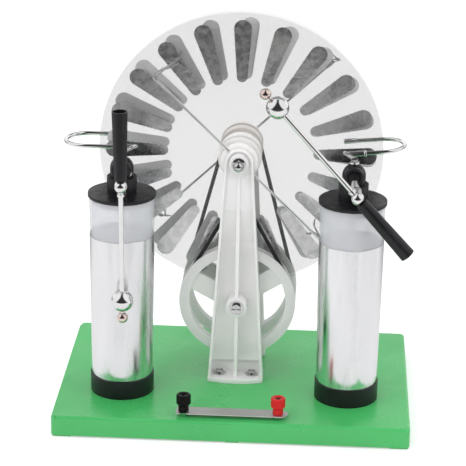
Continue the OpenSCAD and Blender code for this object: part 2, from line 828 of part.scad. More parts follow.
module axle_screws() {
    color([0.75, 0.75, 0.76]) {
        axle_screw(boss_y - gap);
        translate([0, 2 * crank_back_y(), 0]) mirror([0, 1, 0]) axle_screw(crank_back_y());
    }
}

module crank_arm() {
    color([0.72, 0.72, 0.73]) difference() {
        translate([0, 0, lower_axle_z]) slab_xz(crank_y(), crank_back_y()) {
            circle(r = crank_eye_r);
            translate([-crank_hw, -crank_len]) square([2 * crank_hw, crank_len]);
            translate([0, -crank_len]) circle(r = crank_hw);
        }
        ycyl(lower_axle_r + thin_gap, crank_y() - 1, crank_back_y() + 1, lower_axle_z);
        ycyl(crank_pin_r + thin_gap, crank_y() - 1, crank_back_y() + 1, lower_axle_z - crank_len);
    }
}

module crank_pin() {
    z = lower_axle_z - crank_len;
    y1 = crank_back_y() + handle_len + 1;
    color([0.72, 0.72, 0.73]) {
        ycyl(crank_pin_r, crank_y(), y1, z);
        ycyl(crank_pin_head_r, y1, y1 + crank_pin_r * 0.6, z);
    }
}

module crank_handle() {
    y0 = crank_back_y() + gap;
    y1 = crank_back_y() + handle_len + 1 - gap;
    z = lower_axle_z - crank_len;
    color([0.13, 0.13, 0.14]) difference() {
        translate([0, y1, z]) rotate([90, 0, 0]) cylinder(r1 = handle_r, r2 = handle_r - 2, h = y1 - y0);
        ycyl(crank_pin_r + run_gap, y0 - 1, y1 + 1, z);
    }
}

// Belts: the arcs lie in the plane of the pulleys
module belt_arc(r, z, from, sweep, y) {
    translate([0, y, z]) rotate([90, 0, 0]) rotate(from)
        rotate_extrude(angle = sweep) translate([r, 0]) circle(r = belt_r);
}

module front_belt() {
    d = upper_axle_z - lower_axle_z;
    a = asin((belt_large_r + belt_small_r) / d);
    cross_z = lower_axle_z + d * belt_large_r / (belt_large_r + belt_small_r);
    color([0.12, 0.12, 0.13]) {
        belt_arc(belt_large_r, lower_axle_z, 180 - a, 180 + 2 * a, wheel_y);
        belt_arc(belt_small_r, upper_axle_z, -a, 180 + 2 * a, wheel_y);
        for (s = [-1, 1]) {
            p = [s * belt_large_r * cos(a), wheel_y, lower_axle_z + belt_large_r * sin(a)];
            m = [0, wheel_y + s * (belt_r + 0.2), cross_z];
            q = [-s * belt_small_r * cos(a), wheel_y, upper_axle_z - belt_small_r * sin(a)];
            wire([p, m, q], belt_r);
            knee(p, belt_r);
            knee(q, belt_r);
        }
    }
}

module rear_belt() {
    d = upper_axle_z - lower_axle_z;
    a = asin((belt_large_r - belt_small_r) / d);
    y = 2 * disc_mid_y - wheel_y;
    color([0.12, 0.12, 0.13]) {
        belt_arc(belt_large_r, lower_axle_z, 180 - a, 180 + 2 * a, y);
        belt_arc(belt_small_r, upper_axle_z, a, 180 - 2 * a, y);
        for (s = [-1, 1]) {
            p = [s * belt_large_r * cos(a), y, lower_axle_z + belt_large_r * sin(a)];
            q = [s * belt_small_r * cos(a), y, upper_axle_z + belt_small_r * sin(a)];
            rod(p, q, belt_r);
            knee(p, belt_r);
            knee(q, belt_r);
        }
    }
}

// Neutralizers, built about the disc axle with the rod along X
module turned(angle) {
    translate([0, 0, upper_axle_z]) rotate([0, -angle, 0]) children();
}

module neutral_hub(angle) {
    w = 2 * neutral_rod_r + 0.1;
    color([0.93, 0.93, 0.91]) turned(angle) difference() {
        ycyl(neutral_hub_r, neutral_front_y, neutral_back_y, 0);
        ycyl(upper_axle_r + run_gap, neutral_front_y - 1, neutral_back_y + 1, 0);
        for (s = [-1, 1]) {
            translate([s * (neutral_hub_r / 2 + upper_axle_r) - neutral_hub_r / 2, neutral_front_y - 1, -w / 2])
                cube([neutral_hub_r, neutral_rod_y - neutral_front_y + 1, w]);
            translate([s * (upper_axle_r + 1), neutral_rod_y, 0])
                rotate([0, s * 90, 0]) cylinder(r = w / 2, h = neutral_hub_r);
        }
    }
}

module front_neutralizer_hub() { neutral_hub(front_neutral_angle); }

module rear_neutralizer_hub() { at_back() neutral_hub(rear_neutral_angle); }

// Where the rod ends at the sleeve of a brush whose tip lies further out by dr
function rod_end(dr) =
    let (a = max(0, atan2(-dr, brush_tip_y - neutral_rod_y)))
    neutral_reach - brush_sleeve_r * 1.02 / cos(a) - neutral_rod_r * tan(a) - thin_gap;

module neutral_rod(angle, dr1, dr2) {
    start = upper_axle_r + 1.2;
    color([0.8, 0.8, 0.81]) turned(angle) {
        rod([start, neutral_rod_y, 0], [rod_end(dr1), neutral_rod_y, 0], neutral_rod_r);
        rod([-start, neutral_rod_y, 0], [-rod_end(dr2), neutral_rod_y, 0], neutral_rod_r);
    }
}

module front_neutralizer_rod() {
    neutral_rod(front_neutral_angle, front_brush_1[0], front_brush_2[0]);
}

module rear_neutralizer_rod() {
    at_back() neutral_rod(rear_neutral_angle, rear_brush_1[0], rear_brush_2[0]);
}

// One brush: a sleeve bent to the disc and two fine wires that curl along it
module brush(dr, dt) {
    corner = [neutral_reach, neutral_rod_y, 0];
    tip = [neutral_reach + dr, brush_tip_y, dt];
    bend = corner + (tip - corner) * 0.45;
    rod(corner, bend, brush_sleeve_r);
    knee(corner, brush_sleeve_r);
    for (s = [-1, 1]) {
        lay = atan2(dt, dr) + s * 62;
        near = [tip[0] + s * 2, brush_tip_y - 1.6, tip[2] - s * 2.4];
        touch = [near[0] + 6 * cos(lay), brush_tip_y, near[2] + 6 * sin(lay)];
        wire([bend - (tip - corner) * 0.03 + [s * 0.6, 0, 0], near, touch], brush_wire_r);
    }
}

module front_brushes() {
    color([0.7, 0.7, 0.7]) {
        turned(front_neutral_angle) brush(front_brush_1[0], front_brush_1[1]);
        turned(front_neutral_angle + 180) brush(front_brush_2[0], front_brush_2[1]);
    }
}

module rear_brushes() {
    color([0.7, 0.7, 0.7]) at_back() {
        turned(rear_neutral_angle) brush(rear_brush_1[0], rear_brush_1[1]);
        turned(rear_neutral_angle + 180) brush(rear_brush_2[0], rear_brush_2[1]);
    }
}

// Jars, built for the right side at a given place along X
module at_jar(s) {
    translate([s * jar_x, jar_y, 0]) children();
}

function jar_wall_r(z) =
    jar_foot_r + (jar_top_r - jar_foot_r) * (z - jar_floor_z) / (jar_rim_z - jar_floor_z);

module cup() {
    color([0.14, 0.14, 0.15]) difference() {
        translate([0, 0, base_h]) cylinder(r = cup_r, h = cup_h);
        translate([0, 0, cup_floor_z])
            cylinder(r = jar_wall_r(base_h + cup_h) + foil_t + 2 * thin_gap, h = cup_h);
        translate([0, 0, base_h - 1]) cylinder(r = stud_r + 0.1, h = cup_h);
        translate([0, 0, cup_floor_z - 1.6]) cylinder(r = base_nut_r + 0.3, h = 3);
    }
}

module left_cup() { at_jar(-1) cup(); }

module right_cup() { at_jar(1) cup(); }

module jar() {
    color([0.8, 0.86, 0.9, 0.4]) difference() {
        translate([0, 0, jar_floor_z])
            cylinder(r1 = jar_foot_r, r2 = jar_top_r, h = jar_rim_z - jar_floor_z);
        translate([0, 0, jar_inside_z])
            cylinder(r1 = jar_wall_r(jar_inside_z) - jar_wall, r2 = jar_top_r - jar_wall,
                     h = jar_rim_z - jar_inside_z);
        translate([0, 0, jar_rim_z - 1]) cylinder(r = jar_top_r - jar_wall, h = 2);
    }
}

module left_jar() { at_jar(-1) jar(); }

module right_jar() { at_jar(1) jar(); }

// Foil sleeve with a closed bottom, lying outside a cone of the given radii
module foil_sleeve(r1, r2, z0, z1) {
    difference() {
        translate([0, 0, z0 - foil_t]) cylinder(r1 = r1 + foil_t, r2 = r2 + foil_t, h = z1 - z0 + foil_t);
        translate([0, 0, z0]) cylinder(r1 = r1, r2 = r2, h = z1 - z0);
        translate([0, 0, z1 - foil_t]) cylinder(r = r2, h = 2);
    }
}

module outer_foil() {
    r1 = jar_foot_r + thin_gap;
    r2 = jar_wall_r(foil_z) + thin_gap;
    color([0.78, 0.79, 0.8]) foil_sleeve(r1, r2, jar_floor_z - thin_gap / 2, foil_z);
}

module left_outer_foil() { at_jar(-1) outer_foil(); }

module right_outer_foil() { at_jar(1) outer_foil(); }

module inner_foils() {
    z0 = jar_inside_z + thin_gap + foil_t;
    inset = jar_wall + thin_gap + foil_t;
    color([0.78, 0.79, 0.8]) for (s = [-1, 1]) at_jar(s)
        foil_sleeve(jar_wall_r(z0) - inset, jar_wall_r(foil_z) - inset, z0, foil_z);
}

module cap() {
    color([0.16, 0.16, 0.17]) difference() {
        union() {
            translate([0, 0, jar_rim_z]) cylinder(r = cap_r, h = cap_t);
            translate([0, 0, jar_rim_z - cap_plug_h])
                cylinder(r = jar_wall_r(jar_rim_z - cap_plug_h) - jar_wall - 0.1, h = cap_plug_h + 1);
            translate([0, 0, cap_top_z - 1]) cylinder(r = collar_r, h = collar_h + 1);
        }
        translate([0, 0, cap_top_z]) cylinder(r = elbow_r + thin_gap, h = collar_h + 1);
        translate([0, 0, jar_rim_z - cap_plug_h - 1])
            cylinder(r = centre_rod_r + thin_gap, h = cap_plug_h + collar_h);
    }
}

module left_cap() { at_jar(-1) cap(); }

module right_cap() { at_jar(1) cap(); }

// Elbow with its port to the front; the set screw sits on the inner front side
module elbow(s) {
    color([0.13, 0.13, 0.14]) difference() {
        union() {
            translate([0, 0, cap_top_z]) cylinder(r = elbow_r, h = elbow_z - cap_top_z);
            translate([0, 0, elbow_z]) sphere(r = elbow_r);
            ycyl(elbow_port_r, -elbow_r - 1, 0, elbow_z);
        }
        translate([-elbow_r, -elbow_r, elbow_top_z]) cube([2 * elbow_r, 2 * elbow_r, 5]);
        translate([0, 0, cap_top_z - 1]) cylinder(r = centre_rod_r + thin_gap, h = elbow_h + 1);
        rod(arm_start() * 1.005 - arm_knee() * 0.005, arm_knee(), arm_r + thin_gap);
        translate([0, 0, elbow_z + arm_r + 0.8]) cylinder(r = top_screw_r + thin_gap, h = 20);
        elbow_set_screw(s, thin_gap);
    }
}

module elbow_set_screw(s, extra) {
    translate([0, 0, elbow_z - 3.4]) rotate([90, 0, -s * 46]) translate([0, 0, elbow_r - 1.5 - extra])
        cylinder(r = set_screw_r + extra, h = 2.5 + 2 * extra);
}

module left_elbow() { at_jar(-1) elbow(-1); }

module right_elbow() { at_jar(1) elbow(1); }

// Screws through the cups, set screws and top screws of the elbows
module jar_screws() {
    eye_top = elbow_top_z + comb_eye_t + 0.2;
    head_z = cup_floor_z - 1.6;
    color([0.72, 0.72, 0.74]) for (s = [-1, 1]) at_jar(s) {
        translate([0, 0, head_z]) cylinder(r = base_nut_r + 0.1, h = 1.55);
        translate([0, 0, strip_z - base_nut_h - 1])
            cylinder(r = stud_r, h = head_z + 2 + base_nut_h - strip_z);
        translate([0, 0, strip_z - base_nut_h]) cylinder(r = base_nut_r, h = base_nut_h, $fn = 6);
        elbow_set_screw(s, 0);
        translate([0, 0, elbow_z + arm_r + 1]) cylinder(r = top_screw_r, h = eye_top - elbow_z - arm_r);
        translate([0, 0, eye_top]) cylinder(r = top_nut_r, h = top_nut_h, $fn = 6);
    }
}

function arm_start() = [0, arm_r, elbow_z];

function arm_knee() = [arm_shift * 0.75, lever_y - jar_y + 16, elbow_z];

// Conductor: upright rod in the jar, arm to the front, bent down to the pivot
module conductor(drop) {
    y2 = lever_y - jar_y;
    x2 = arm_shift;
    translate([0, 0, centre_rod_z]) cylinder(r = centre_rod_r, h = elbow_z - centre_rod_z);
    wire([
        arm_start(),
        arm_knee(),
        [x2, y2 + joint_ball_r + 4.5, elbow_z - drop],
        [x2, y2 + joint_ball_r + 0.6, elbow_z - drop]
    ], arm_r);
    ycyl(pivot_r, y2 - joint_ball_r / 2, y2 + joint_ball_r + 1, elbow_z - drop, x2);
}

module left_conductor() { color([0.72, 0.72, 0.72]) at_jar(-1) conductor(left_arm_drop); }

module right_conductor() { color([0.72, 0.72, 0.72]) at_jar(1) conductor(right_arm_drop); }

// Contact spring: a clamped ring with three leaves that press on the inner foil
module contact_spring() {
    z = spring_z;
    leaf_angle = 28;
    reach = jar_wall_r(z - 1.5 * spring_h) - jar_wall - foil_t - 0.8;
    leaf_x = spring_r - 1;
    leaf_len = (reach - leaf_x) / cos(leaf_angle);
    translate([0, 0, z]) difference() {
        cylinder(r = spring_r, h = spring_h);
        translate([0, 0, -1]) cylinder(r = centre_rod_r + thin_gap, h = spring_h + 2);
    }
    for (i = [0 : 2]) rotate([0, 0, i * 120]) translate([leaf_x, -3, z + 2]) rotate([0, leaf_angle, 0])
        cube([leaf_len, 6, spring_t]);
}

// Strip under the base from a terminal to a jar, built for the right side
module contact_strip() {
    dx = jar_x - terminal_x;
    dy = jar_y - terminal_y;
    translate([terminal_x, terminal_y, strip_z]) linear_extrude(strip_t) difference() {
        union() {
            rotate(atan2(dy, dx)) translate([0, -strip_w / 2]) square([norm([dx, dy]), strip_w]);
            circle(r = strip_w / 2);
            translate([dx, dy]) circle(r = strip_w / 2);
        }
        circle(r = stud_r + 0.1);
        translate([dx, dy]) circle(r = stud_r + 0.1);
    }
}

// Springs in the jars and strips under the base
module contacts() {
    color([0.72, 0.6, 0.3]) {
        for (s = [-1, 1]) at_jar(s) contact_spring();
        for (s = [0, 1]) mirror([s, 0, 0]) contact_strip();
    }
}

// Combs, built for the right side: wire from the elbow, then a bow round the disc's edge
module comb(reach, tilt) {
    bend_x = reach - comb_bend_r;
    y0 = disc_mid_y - comb_bend_r;
    y1 = disc_mid_y + comb_bend_r;
    corner = [comb_corner_x, y0, comb_z];
    sleeve = [comb_sleeve_len, 0, 0];
    end = [bend_x - comb_leg, y1, comb_z];
    eye_z = elbow_top_z + 0.1;
    r = comb_wire_r;
    color([0.8, 0.8, 0.81]) {
        difference() {
            union() {
                translate([jar_x, jar_y, eye_z]) cylinder(r = comb_eye_r, h = comb_eye_t);
                wire([[jar_x - 0.2 * r, jar_y + 2 * r, eye_z + comb_eye_t - 0.2 * r], corner], r);
                side_knee(corner, r);
            }
            translate([jar_x, jar_y, eye_z - 1]) cylinder(r = top_screw_r + thin_gap, h = comb_eye_t + 3);
        }
        translate(corner) rotate([0, -asin(tilt / (reach - corner[0])), 0]) translate(-corner) {
            rod(corner, [bend_x, y0, comb_z], r);
            translate([bend_x, disc_mid_y, comb_z]) rotate(-90)
                rotate_extrude(angle = 180) translate([comb_bend_r, 0]) circle(r = r);
            rod([bend_x, y1, comb_z], end, r);
            side_knee([bend_x, y0, comb_z], r);
            side_knee([bend_x, y1, comb_z], r);
            rod(corner + [comb_sleeve_wall, 0, 0], corner + sleeve, r + comb_sleeve_wall);
            rod(corner + sleeve, corner + sleeve * 1.1, r + 2 * comb_sleeve_wall);
            rod(end, end + sleeve * 0.8, r + comb_sleeve_wall);
        }
    }
}

module right_comb() { comb(right_comb_reach, right_comb_tilt); }

module left_comb() { mirror([1, 0, 0]) comb(left_comb_reach, 0); }

// Discharge rods, built along X from the joint ball's centre
module at_ball(s) {
    drop = s < 0 ? left_arm_drop : right_arm_drop;
    angle = s < 0 ? left_rod_angle : right_rod_angle;
    translate([s * jar_x + arm_shift, lever_y, elbow_z - drop]) rotate([0, -angle, 0]) children();
}

module joint_ball() {
    color([0.8, 0.8, 0.81]) difference() {
        rotate(-45) sphere(r = joint_ball_r);
        ycyl(pivot_r + run_gap, -joint_ball_r / 2 - gap, joint_ball_r + 1, 0);
        translate([-joint_ball_r - 1, 0, 0]) rotate([0, 90, 0])
            cylinder(r = lever_rod_r + thin_gap, h = joint_ball_r - 1.9);
        translate([2.9, 0, 0]) rotate([0, 90, 0]) cylinder(r = lever_rod_r + thin_gap, h = joint_ball_r);
    }
}

module left_joint_ball() { at_ball(-1) joint_ball(); }

module right_joint_ball() { at_ball(1) joint_ball(); }

module discharge_rod() {
    color([0.8, 0.8, 0.81]) {
        translate([3, 0, 0]) rotate([0, 90, 0]) cylinder(r = lever_rod_r, h = large_ball_at - 3);
        translate([joint_ball_r + 1, 0, 0]) rotate([0, 90, 0])
            cylinder(r = lever_rod_r * 1.5, h = lever_rod_r);
        translate([large_ball_at, 0, 0]) rotate(-45) sphere(r = large_ball_r);
        translate([large_ball_at, 0, 0]) rotate([0, 90, 0]) cylinder(r = ball_neck_r, h = small_ball_gap);
        translate([large_ball_at + small_ball_gap, 0, 0]) rotate(-45) sphere(r = small_ball_r);
    }
}

module left_discharge_rod() { at_ball(-1) discharge_rod(); }

module right_discharge_rod() { at_ball(1) discharge_rod(); }

module lever_handle() {
    start = joint_ball_r + 0.2;
    color([0.13, 0.13, 0.14]) rotate([0, -90, 0]) difference() {
        union() {
            translate([0, 0, 3]) cylinder(r = lever_rod_r, h = 5);
            translate([0, 0, start])
                cylinder(r1 = lever_handle_r1, r2 = lever_handle_r2, h = lever_handle_end - start);
        }
        translate([0, 0, start + handle_plug])
            cylinder(r1 = lever_handle_r1 - 1.8, r2 = lever_handle_r2 - 1.2,
                     h = lever_handle_end - start - handle_plug + 0.1);
    }
}

module left_handle() { at_ball(-1) lever_handle(); }

module right_handle() { at_ball(1) lever_handle(); }

// Terminals
module knob() {
    head_z = knob_z + knob_neck_h + knob_taper_h;
    rim = 0.8;
    flare = knob_top_z - post_top_z;
    difference() {
        union() {
            translate([0, 0, knob_z]) cylinder(r = knob_neck_r, h = knob_neck_h + 0.1);
            translate([0, 0, knob_z + knob_neck_h])
                cylinder(r1 = knob_neck_r, r2 = knob_r, h = knob_taper_h);
            translate([0, 0, head_z]) cylinder(r = knob_r, h = knob_top_z - rim - head_z);
            translate([0, 0, knob_top_z - rim]) cylinder(r1 = knob_r, r2 = knob_r - rim, h = rim);
        }
        translate([0, 0, knob_z - 1]) cylinder(r = post_r + run_gap, h = knob_h + 2);
        translate([0, 0, post_top_z + 0.4])
            cylinder(r1 = post_r + run_gap, r2 = post_r + flare, h = flare);
        for (i = [0 : 15]) rotate(i * 22.5)
            translate([knob_r + 0.25, 0, knob_z + knob_neck_h - 1]) cylinder(r = 0.7, h = knob_h);
    }
}

module black_knob() { color([0.1, 0.1, 0.11]) translate([-terminal_x, terminal_y, 0]) knob(); }

module red_knob() { color([0.82, 0.1, 0.14]) translate([terminal_x, terminal_y, 0]) knob(); }

// Studs that widen to posts with plug sockets inside the knobs
module terminal_studs() {
    color([0.75, 0.75, 0.76]) for (s = [-1, 1]) translate([s * terminal_x, terminal_y, 0]) {
        translate([0, 0, strip_z - base_nut_h - 1])
            cylinder(r = stud_r, h = knob_z + base_nut_h + 2 - strip_z);
        difference() {
            translate([0, 0, knob_z + 0.2]) cylinder(r = post_r, h = post_top_z - knob_z - 0.2);
            translate([0, 0, post_top_z - socket_depth]) cylinder(r = socket_r, h = socket_depth + 1);
        }
        translate([0, 0, strip_z - base_nut_h]) cylinder(r = base_nut_r, h = base_nut_h, $fn = 6);
        translate([0, 0, base_h]) cylinder(r = terminal_nut_r, h = terminal_nut_h, $fn = 6);
    }
}

module link_bar() {
    w = link_w / 2;
    color([0.66, 0.64, 0.65]) translate([0, 0, link_z]) linear_extrude(link_t) difference() {
        union() {
            translate([-terminal_x - link_end, terminal_y - w]) square([2 * terminal_x + link_end, link_w]);
            translate([terminal_x + 2, terminal_y]) circle(r = w);
        }
        translate([-terminal_x, terminal_y]) circle(r = link_slot_w / 2);
        translate([-terminal_x - link_slot_w / 2, terminal_y - w - 1]) square([link_slot_w, w + 1]);
        translate([terminal_x, terminal_y]) circle(r = stud_r + 0.1);
    }
}

base_plate();
base_rim();
base_ribs();
column_screws();
front_column();
rear_column();
upper_axle();
upper_axle_nuts();
lower_axle();
axle_screws();
front_drive_wheel();
rear_drive_wheel();
drive_wheel_screws();
front_belt();
rear_belt();
crank_arm();
crank_pin();
crank_handle();
front_disc();
rear_disc();
front_sectors();
rear_sectors();
front_pulley();
rear_pulley();
front_pulley_bush();
rear_pulley_bush();
disc_spacer();
front_neutralizer_hub();
rear_neutralizer_hub();
front_neutralizer_rod();
rear_neutralizer_rod();
front_brushes();
rear_brushes();
left_cup();
right_cup();
left_jar();
right_jar();
left_outer_foil();
right_outer_foil();
inner_foils();
jar_screws();
left_cap();
right_cap();
left_elbow();
right_elbow();
left_conductor();
right_conductor();
contacts();
left_comb();
right_comb();
left_joint_ball();
right_joint_ball();
left_discharge_rod();
right_discharge_rod();
left_handle();
right_handle();
black_knob();
red_knob();
terminal_studs();
link_bar();
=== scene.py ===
"""Looks of an electrostatic induction generator: two clear discs with foil sectors, two jars,
two discharge rods and a milky plastic stand on a green base.

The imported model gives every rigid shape. This script dresses it: it gives each node a procedural
material, and remakes the bent tubes, wires, brushes and foils with smooth bends and creases.
Everything is in metres, in the model's own frame: +X right, +Y back, +Z up, Z = 0 on the table.
"""

import math
import random

import bmesh
import bpy
from mathutils import Matrix, Vector


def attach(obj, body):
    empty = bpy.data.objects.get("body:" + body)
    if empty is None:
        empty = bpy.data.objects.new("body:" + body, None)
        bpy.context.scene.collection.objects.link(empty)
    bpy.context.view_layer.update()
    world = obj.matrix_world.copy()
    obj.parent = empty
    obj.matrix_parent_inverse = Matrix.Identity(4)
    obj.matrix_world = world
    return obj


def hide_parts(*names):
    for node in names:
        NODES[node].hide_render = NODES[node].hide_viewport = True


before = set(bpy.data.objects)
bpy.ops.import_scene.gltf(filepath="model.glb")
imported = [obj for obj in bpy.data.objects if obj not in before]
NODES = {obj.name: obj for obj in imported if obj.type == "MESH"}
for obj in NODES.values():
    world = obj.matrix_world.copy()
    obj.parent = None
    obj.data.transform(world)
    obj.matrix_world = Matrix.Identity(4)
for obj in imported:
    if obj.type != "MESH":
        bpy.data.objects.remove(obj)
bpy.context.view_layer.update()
MM = 0.001


# ---------------------------------------------------------------- camera
def make_camera():
    """The photograph's camera, fitted to the base, the jars and the discs."""
    place = Vector((79.83, -1804.2, 828.38)) * MM
    yaw, pitch, roll = -0.04719, 0.35157, 0.01748
    focal_px, frame_px, sensor = 2017.1, 466, 36.0
    ahead = Vector((math.sin(yaw) * math.cos(pitch), math.cos(yaw) * math.cos(pitch),
                    -math.sin(pitch)))
    right = Vector((math.cos(yaw), -math.sin(yaw), 0))
    up = right.cross(ahead)
    right_rolled = math.cos(roll) * right + math.sin(roll) * up
    up_rolled = -math.sin(roll) * right + math.cos(roll) * up
    data = bpy.data.cameras.new("camera")
    data.sensor_width = sensor
    data.lens = focal_px * sensor / frame_px
    data.clip_start, data.clip_end = 0.05, 20
    cam = bpy.data.objects.new("camera", data)
    turn = Matrix((right_rolled, up_rolled, -ahead)).transposed()
    cam.matrix_world = Matrix.Translation(place) @ turn.to_4x4()
    bpy.context.scene.collection.objects.link(cam)
    bpy.context.scene.camera = cam


make_camera()


# ---------------------------------------------------------------- materials
NOISE_LOW, NOISE_HIGH = 0.35, 0.65   # the range in which nearly all of a noise lies


class Paint:
    """A Principled material with procedural colour, roughness and relief."""

    def __init__(self, name, colour, rough, metallic=0.0, **sockets):
        self.material = bpy.data.materials.new(name)
        self.material.use_nodes = True
        self.nodes = self.material.node_tree.nodes
        self.links = self.material.node_tree.links
        self.shader = self.nodes["Principled BSDF"]
        self.colour = colour
        self.shader.inputs["Base Color"].default_value = (*colour, 1)
        self.shader.inputs["Roughness"].default_value = rough
        self.shader.inputs["Metallic"].default_value = metallic
        for key, value in sockets.items():
            self.shader.inputs[key.replace("_", " ")].default_value = value
        self.normal = None
        self.coords = self.nodes.new("ShaderNodeTexCoord").outputs["Object"]

    def node(self, kind, **inputs):
        made = self.nodes.new("ShaderNode" + kind)
        for key, value in inputs.items():
            made.inputs[key.replace("_", " ")].default_value = value
        return made

    def stretched(self, scale):
        """Object coordinates scaled differently along X, Y and Z."""
        mapping = self.node("Mapping")
        mapping.inputs["Scale"].default_value = scale
        self.links.new(self.coords, mapping.inputs["Vector"])
        return mapping.outputs["Vector"]

    def noise(self, scale, detail, rough=0.5, along=None):
        made = self.node("TexNoise", Scale=scale, Detail=detail, Roughness=rough)
        self.links.new(self.stretched(along) if along else self.coords, made.inputs["Vector"])
        return made.outputs["Fac"]

    def ramp(self, source, stops):
        """Colour ramp through (position, colour) stops; a number stands for a grey."""
        made = self.nodes.new("ShaderNodeValToRGB")
        points = made.color_ramp.elements
        while len(points) < len(stops):
            points.new(0.5)
        for point, (position, value) in zip(points, stops):
            point.position = position
            point.color = (*value, 1) if isinstance(value, tuple) else (value, value, value, 1)
        self.links.new(source, made.inputs["Fac"])
        return made.outputs["Color"]

    def mottle(self, source, amount):
        """Base colour that drifts a little darker and lighter with a noise."""
        dark = tuple(c * (1 - amount) for c in self.colour)
        light = tuple(min(1, c * (1 + amount)) for c in self.colour)
        drift = self.ramp(source, [(NOISE_LOW, dark), (NOISE_HIGH, light)])
        self.links.new(drift, self.shader.inputs["Base Color"])

    def shine(self, source, low, high):
        """Roughness that drifts between two values with a noise."""
        drift = self.ramp(source, [(NOISE_LOW, low), (NOISE_HIGH, high)])
        self.links.new(drift, self.shader.inputs["Roughness"])

    def relief(self, source, depth, strength):
        """Bump of a noise, its depth in metres, laid over any relief given before."""
        made = self.node("Bump", Strength=strength, Distance=depth)
        self.links.new(source, made.inputs["Height"])
        if self.normal:
            self.links.new(self.normal, made.inputs["Normal"])
        self.normal = made.outputs["Normal"]
        self.links.new(self.normal, self.shader.inputs["Normal"])

    def soft_edges(self, radius):
        """Rounds the look of sharp edges, as moulding and polishing do."""
        made = self.node("Bevel", Radius=radius)
        made.samples = 4
        self.normal = made.outputs["Normal"]
        self.links.new(self.normal, self.shader.inputs["Normal"])
        return self


def dress(paint, *names):
    """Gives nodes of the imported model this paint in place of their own."""
    for name in names:
        data = NODES[name].data
        data.materials.clear()
        data.materials.append(paint.material)


# ---------------------------------------------------------------- mesh forms, in millimetres
SHARP_ANGLE = 38   # degrees; edges that turn further stay sharp


def rounded(points, radius, steps):
    """The points as a path whose corners are arcs."""
    points = [Vector(p) for p in points]
    path = [points[0]]
    for a, b, c in zip(points, points[1:], points[2:]):
        u, v = (a - b).normalized(), (c - b).normalized()
        half = u.angle(v) / 2
        if half > math.radians(88):
            path.append(b)
            continue
        cut = min(radius / math.tan(half), (a - b).length * 0.49, (c - b).length * 0.49)
        reach = cut * math.tan(half)
        centre = b + (u + v).normalized() * (reach / math.sin(half))
        first, last = b + u * cut - centre, b + v * cut - centre
        path += [centre + first.slerp(last, i / steps) for i in range(steps + 1)]
    return path + [points[-1]]


def flowing(points, steps):
    """A smooth curve through all the points."""
    points = [Vector(p) for p in points]
    ends = [points[0] * 2 - points[1]] + points + [points[-1] * 2 - points[-2]]
    path = []
    for a, b, c, d in zip(ends, ends[1:], ends[2:], ends[3:]):
        for i in range(steps):
            t = i / steps
            path.append(0.5 * ((2 * b) + (c - a) * t + (2 * a - 5 * b + 4 * c - d) * t * t
                               + (3 * b - a - 3 * c + d) * t ** 3))
    return path + [points[-1]]


class Form:
    """One mesh gathered from tubes, turned shapes and a wrapped sheet."""

    def __init__(self):
        self.bm = bmesh.new()

    def skin(self, rings, close=True):
        """Faces from ring to ring, with or without an end face on the first and the last."""
        rows = [[self.bm.verts.new(p) for p in ring] for ring in rings]
        count = len(rows[0])
        for low, high in zip(rows, rows[1:]):
            for i in range(count):
                j = (i + 1) % count
                self.bm.faces.new((low[i], low[j], high[j], high[i]))
        if close:
            self.bm.faces.new(list(reversed(rows[0])))
            self.bm.faces.new(rows[-1])

    def tube(self, path, radius, sides=20):
        """A round tube along a path; the radius is a number or a row of numbers."""
        radii = radius if isinstance(radius, list) else [radius] * len(path)
        heading = (path[1] - path[0]).normalized()
        across = heading.orthogonal().normalized()
        rings = []
        for i, (at, r) in enumerate(zip(path, radii)):
            ahead = path[min(i + 1, len(path) - 1)] - path[max(i - 1, 0)]
            ahead.normalize()
            across = (heading.rotation_difference(ahead) @ across).normalized()
            heading = ahead
            third = heading.cross(across)
            rings.append([at + r * (math.cos(k) * across + math.sin(k) * third)
                          for k in (2 * math.pi * n / sides for n in range(sides))])
        self.skin(rings)

    def turned(self, profile, place, axis=(0, 0, 1), sides=48):
        """A shape turned about an axis, from pairs of radius and height."""
        axis = Vector(axis).normalized()
        across = axis.orthogonal().normalized()
        third = axis.cross(across)
        place = Vector(place)
        rings = [[place + axis * h + r * (math.cos(k) * across + math.sin(k) * third)
                  for k in (2 * math.pi * n / sides for n in range(sides))] for r, h in profile]
        self.skin(rings)

    def piece(self, name, paint, body, slot, *nodes):
        """Turns the mesh into an object that rides on a body and stands in for nodes."""
        bmesh.ops.scale(self.bm, vec=(MM, MM, MM), verts=self.bm.verts)
        bmesh.ops.recalc_face_normals(self.bm, faces=self.bm.faces)
        mesh = bpy.data.meshes.new(name)
        self.bm.to_mesh(mesh)
        self.bm.free()
        mesh.shade_smooth()
        mesh.set_sharp_from_angle(angle=math.radians(SHARP_ANGLE))
        mesh.materials.append(paint.material)
        made = bpy.data.objects.new(name, mesh)
        bpy.context.scene.collection.objects.link(made)
        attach(made, body)
        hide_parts(*nodes)


# ---------------------------------------------------------------- paints and what wears them
COPPER_REACH = (5.8, 5.2)   # millimetres from the small ball's centre: bare chrome, full tint
REAR_FOIL_PLANE = 26.92     # the middle of the rear foils' thickness, in millimetres


def finished(paint, spots, gloss, grain, *names):
    """Gives a paint mottled colour, uneven gloss and fine grain, and dresses nodes in it.

    spots: scale, detail and amount; gloss: scale, detail, lowest and highest roughness;
    grain: scale, detail, depth in millimetres and strength, or None for a smooth face.
    """
    scale, detail, amount = spots
    paint.mottle(paint.noise(scale, detail), amount)
    scale, detail, smoothest, roughest = gloss
    paint.shine(paint.noise(scale, detail), smoothest, roughest)
    if grain:
        scale, detail, depth, strength = grain
        paint.relief(paint.noise(scale, detail), depth * MM, strength)
    dress(paint, *names)
    return paint


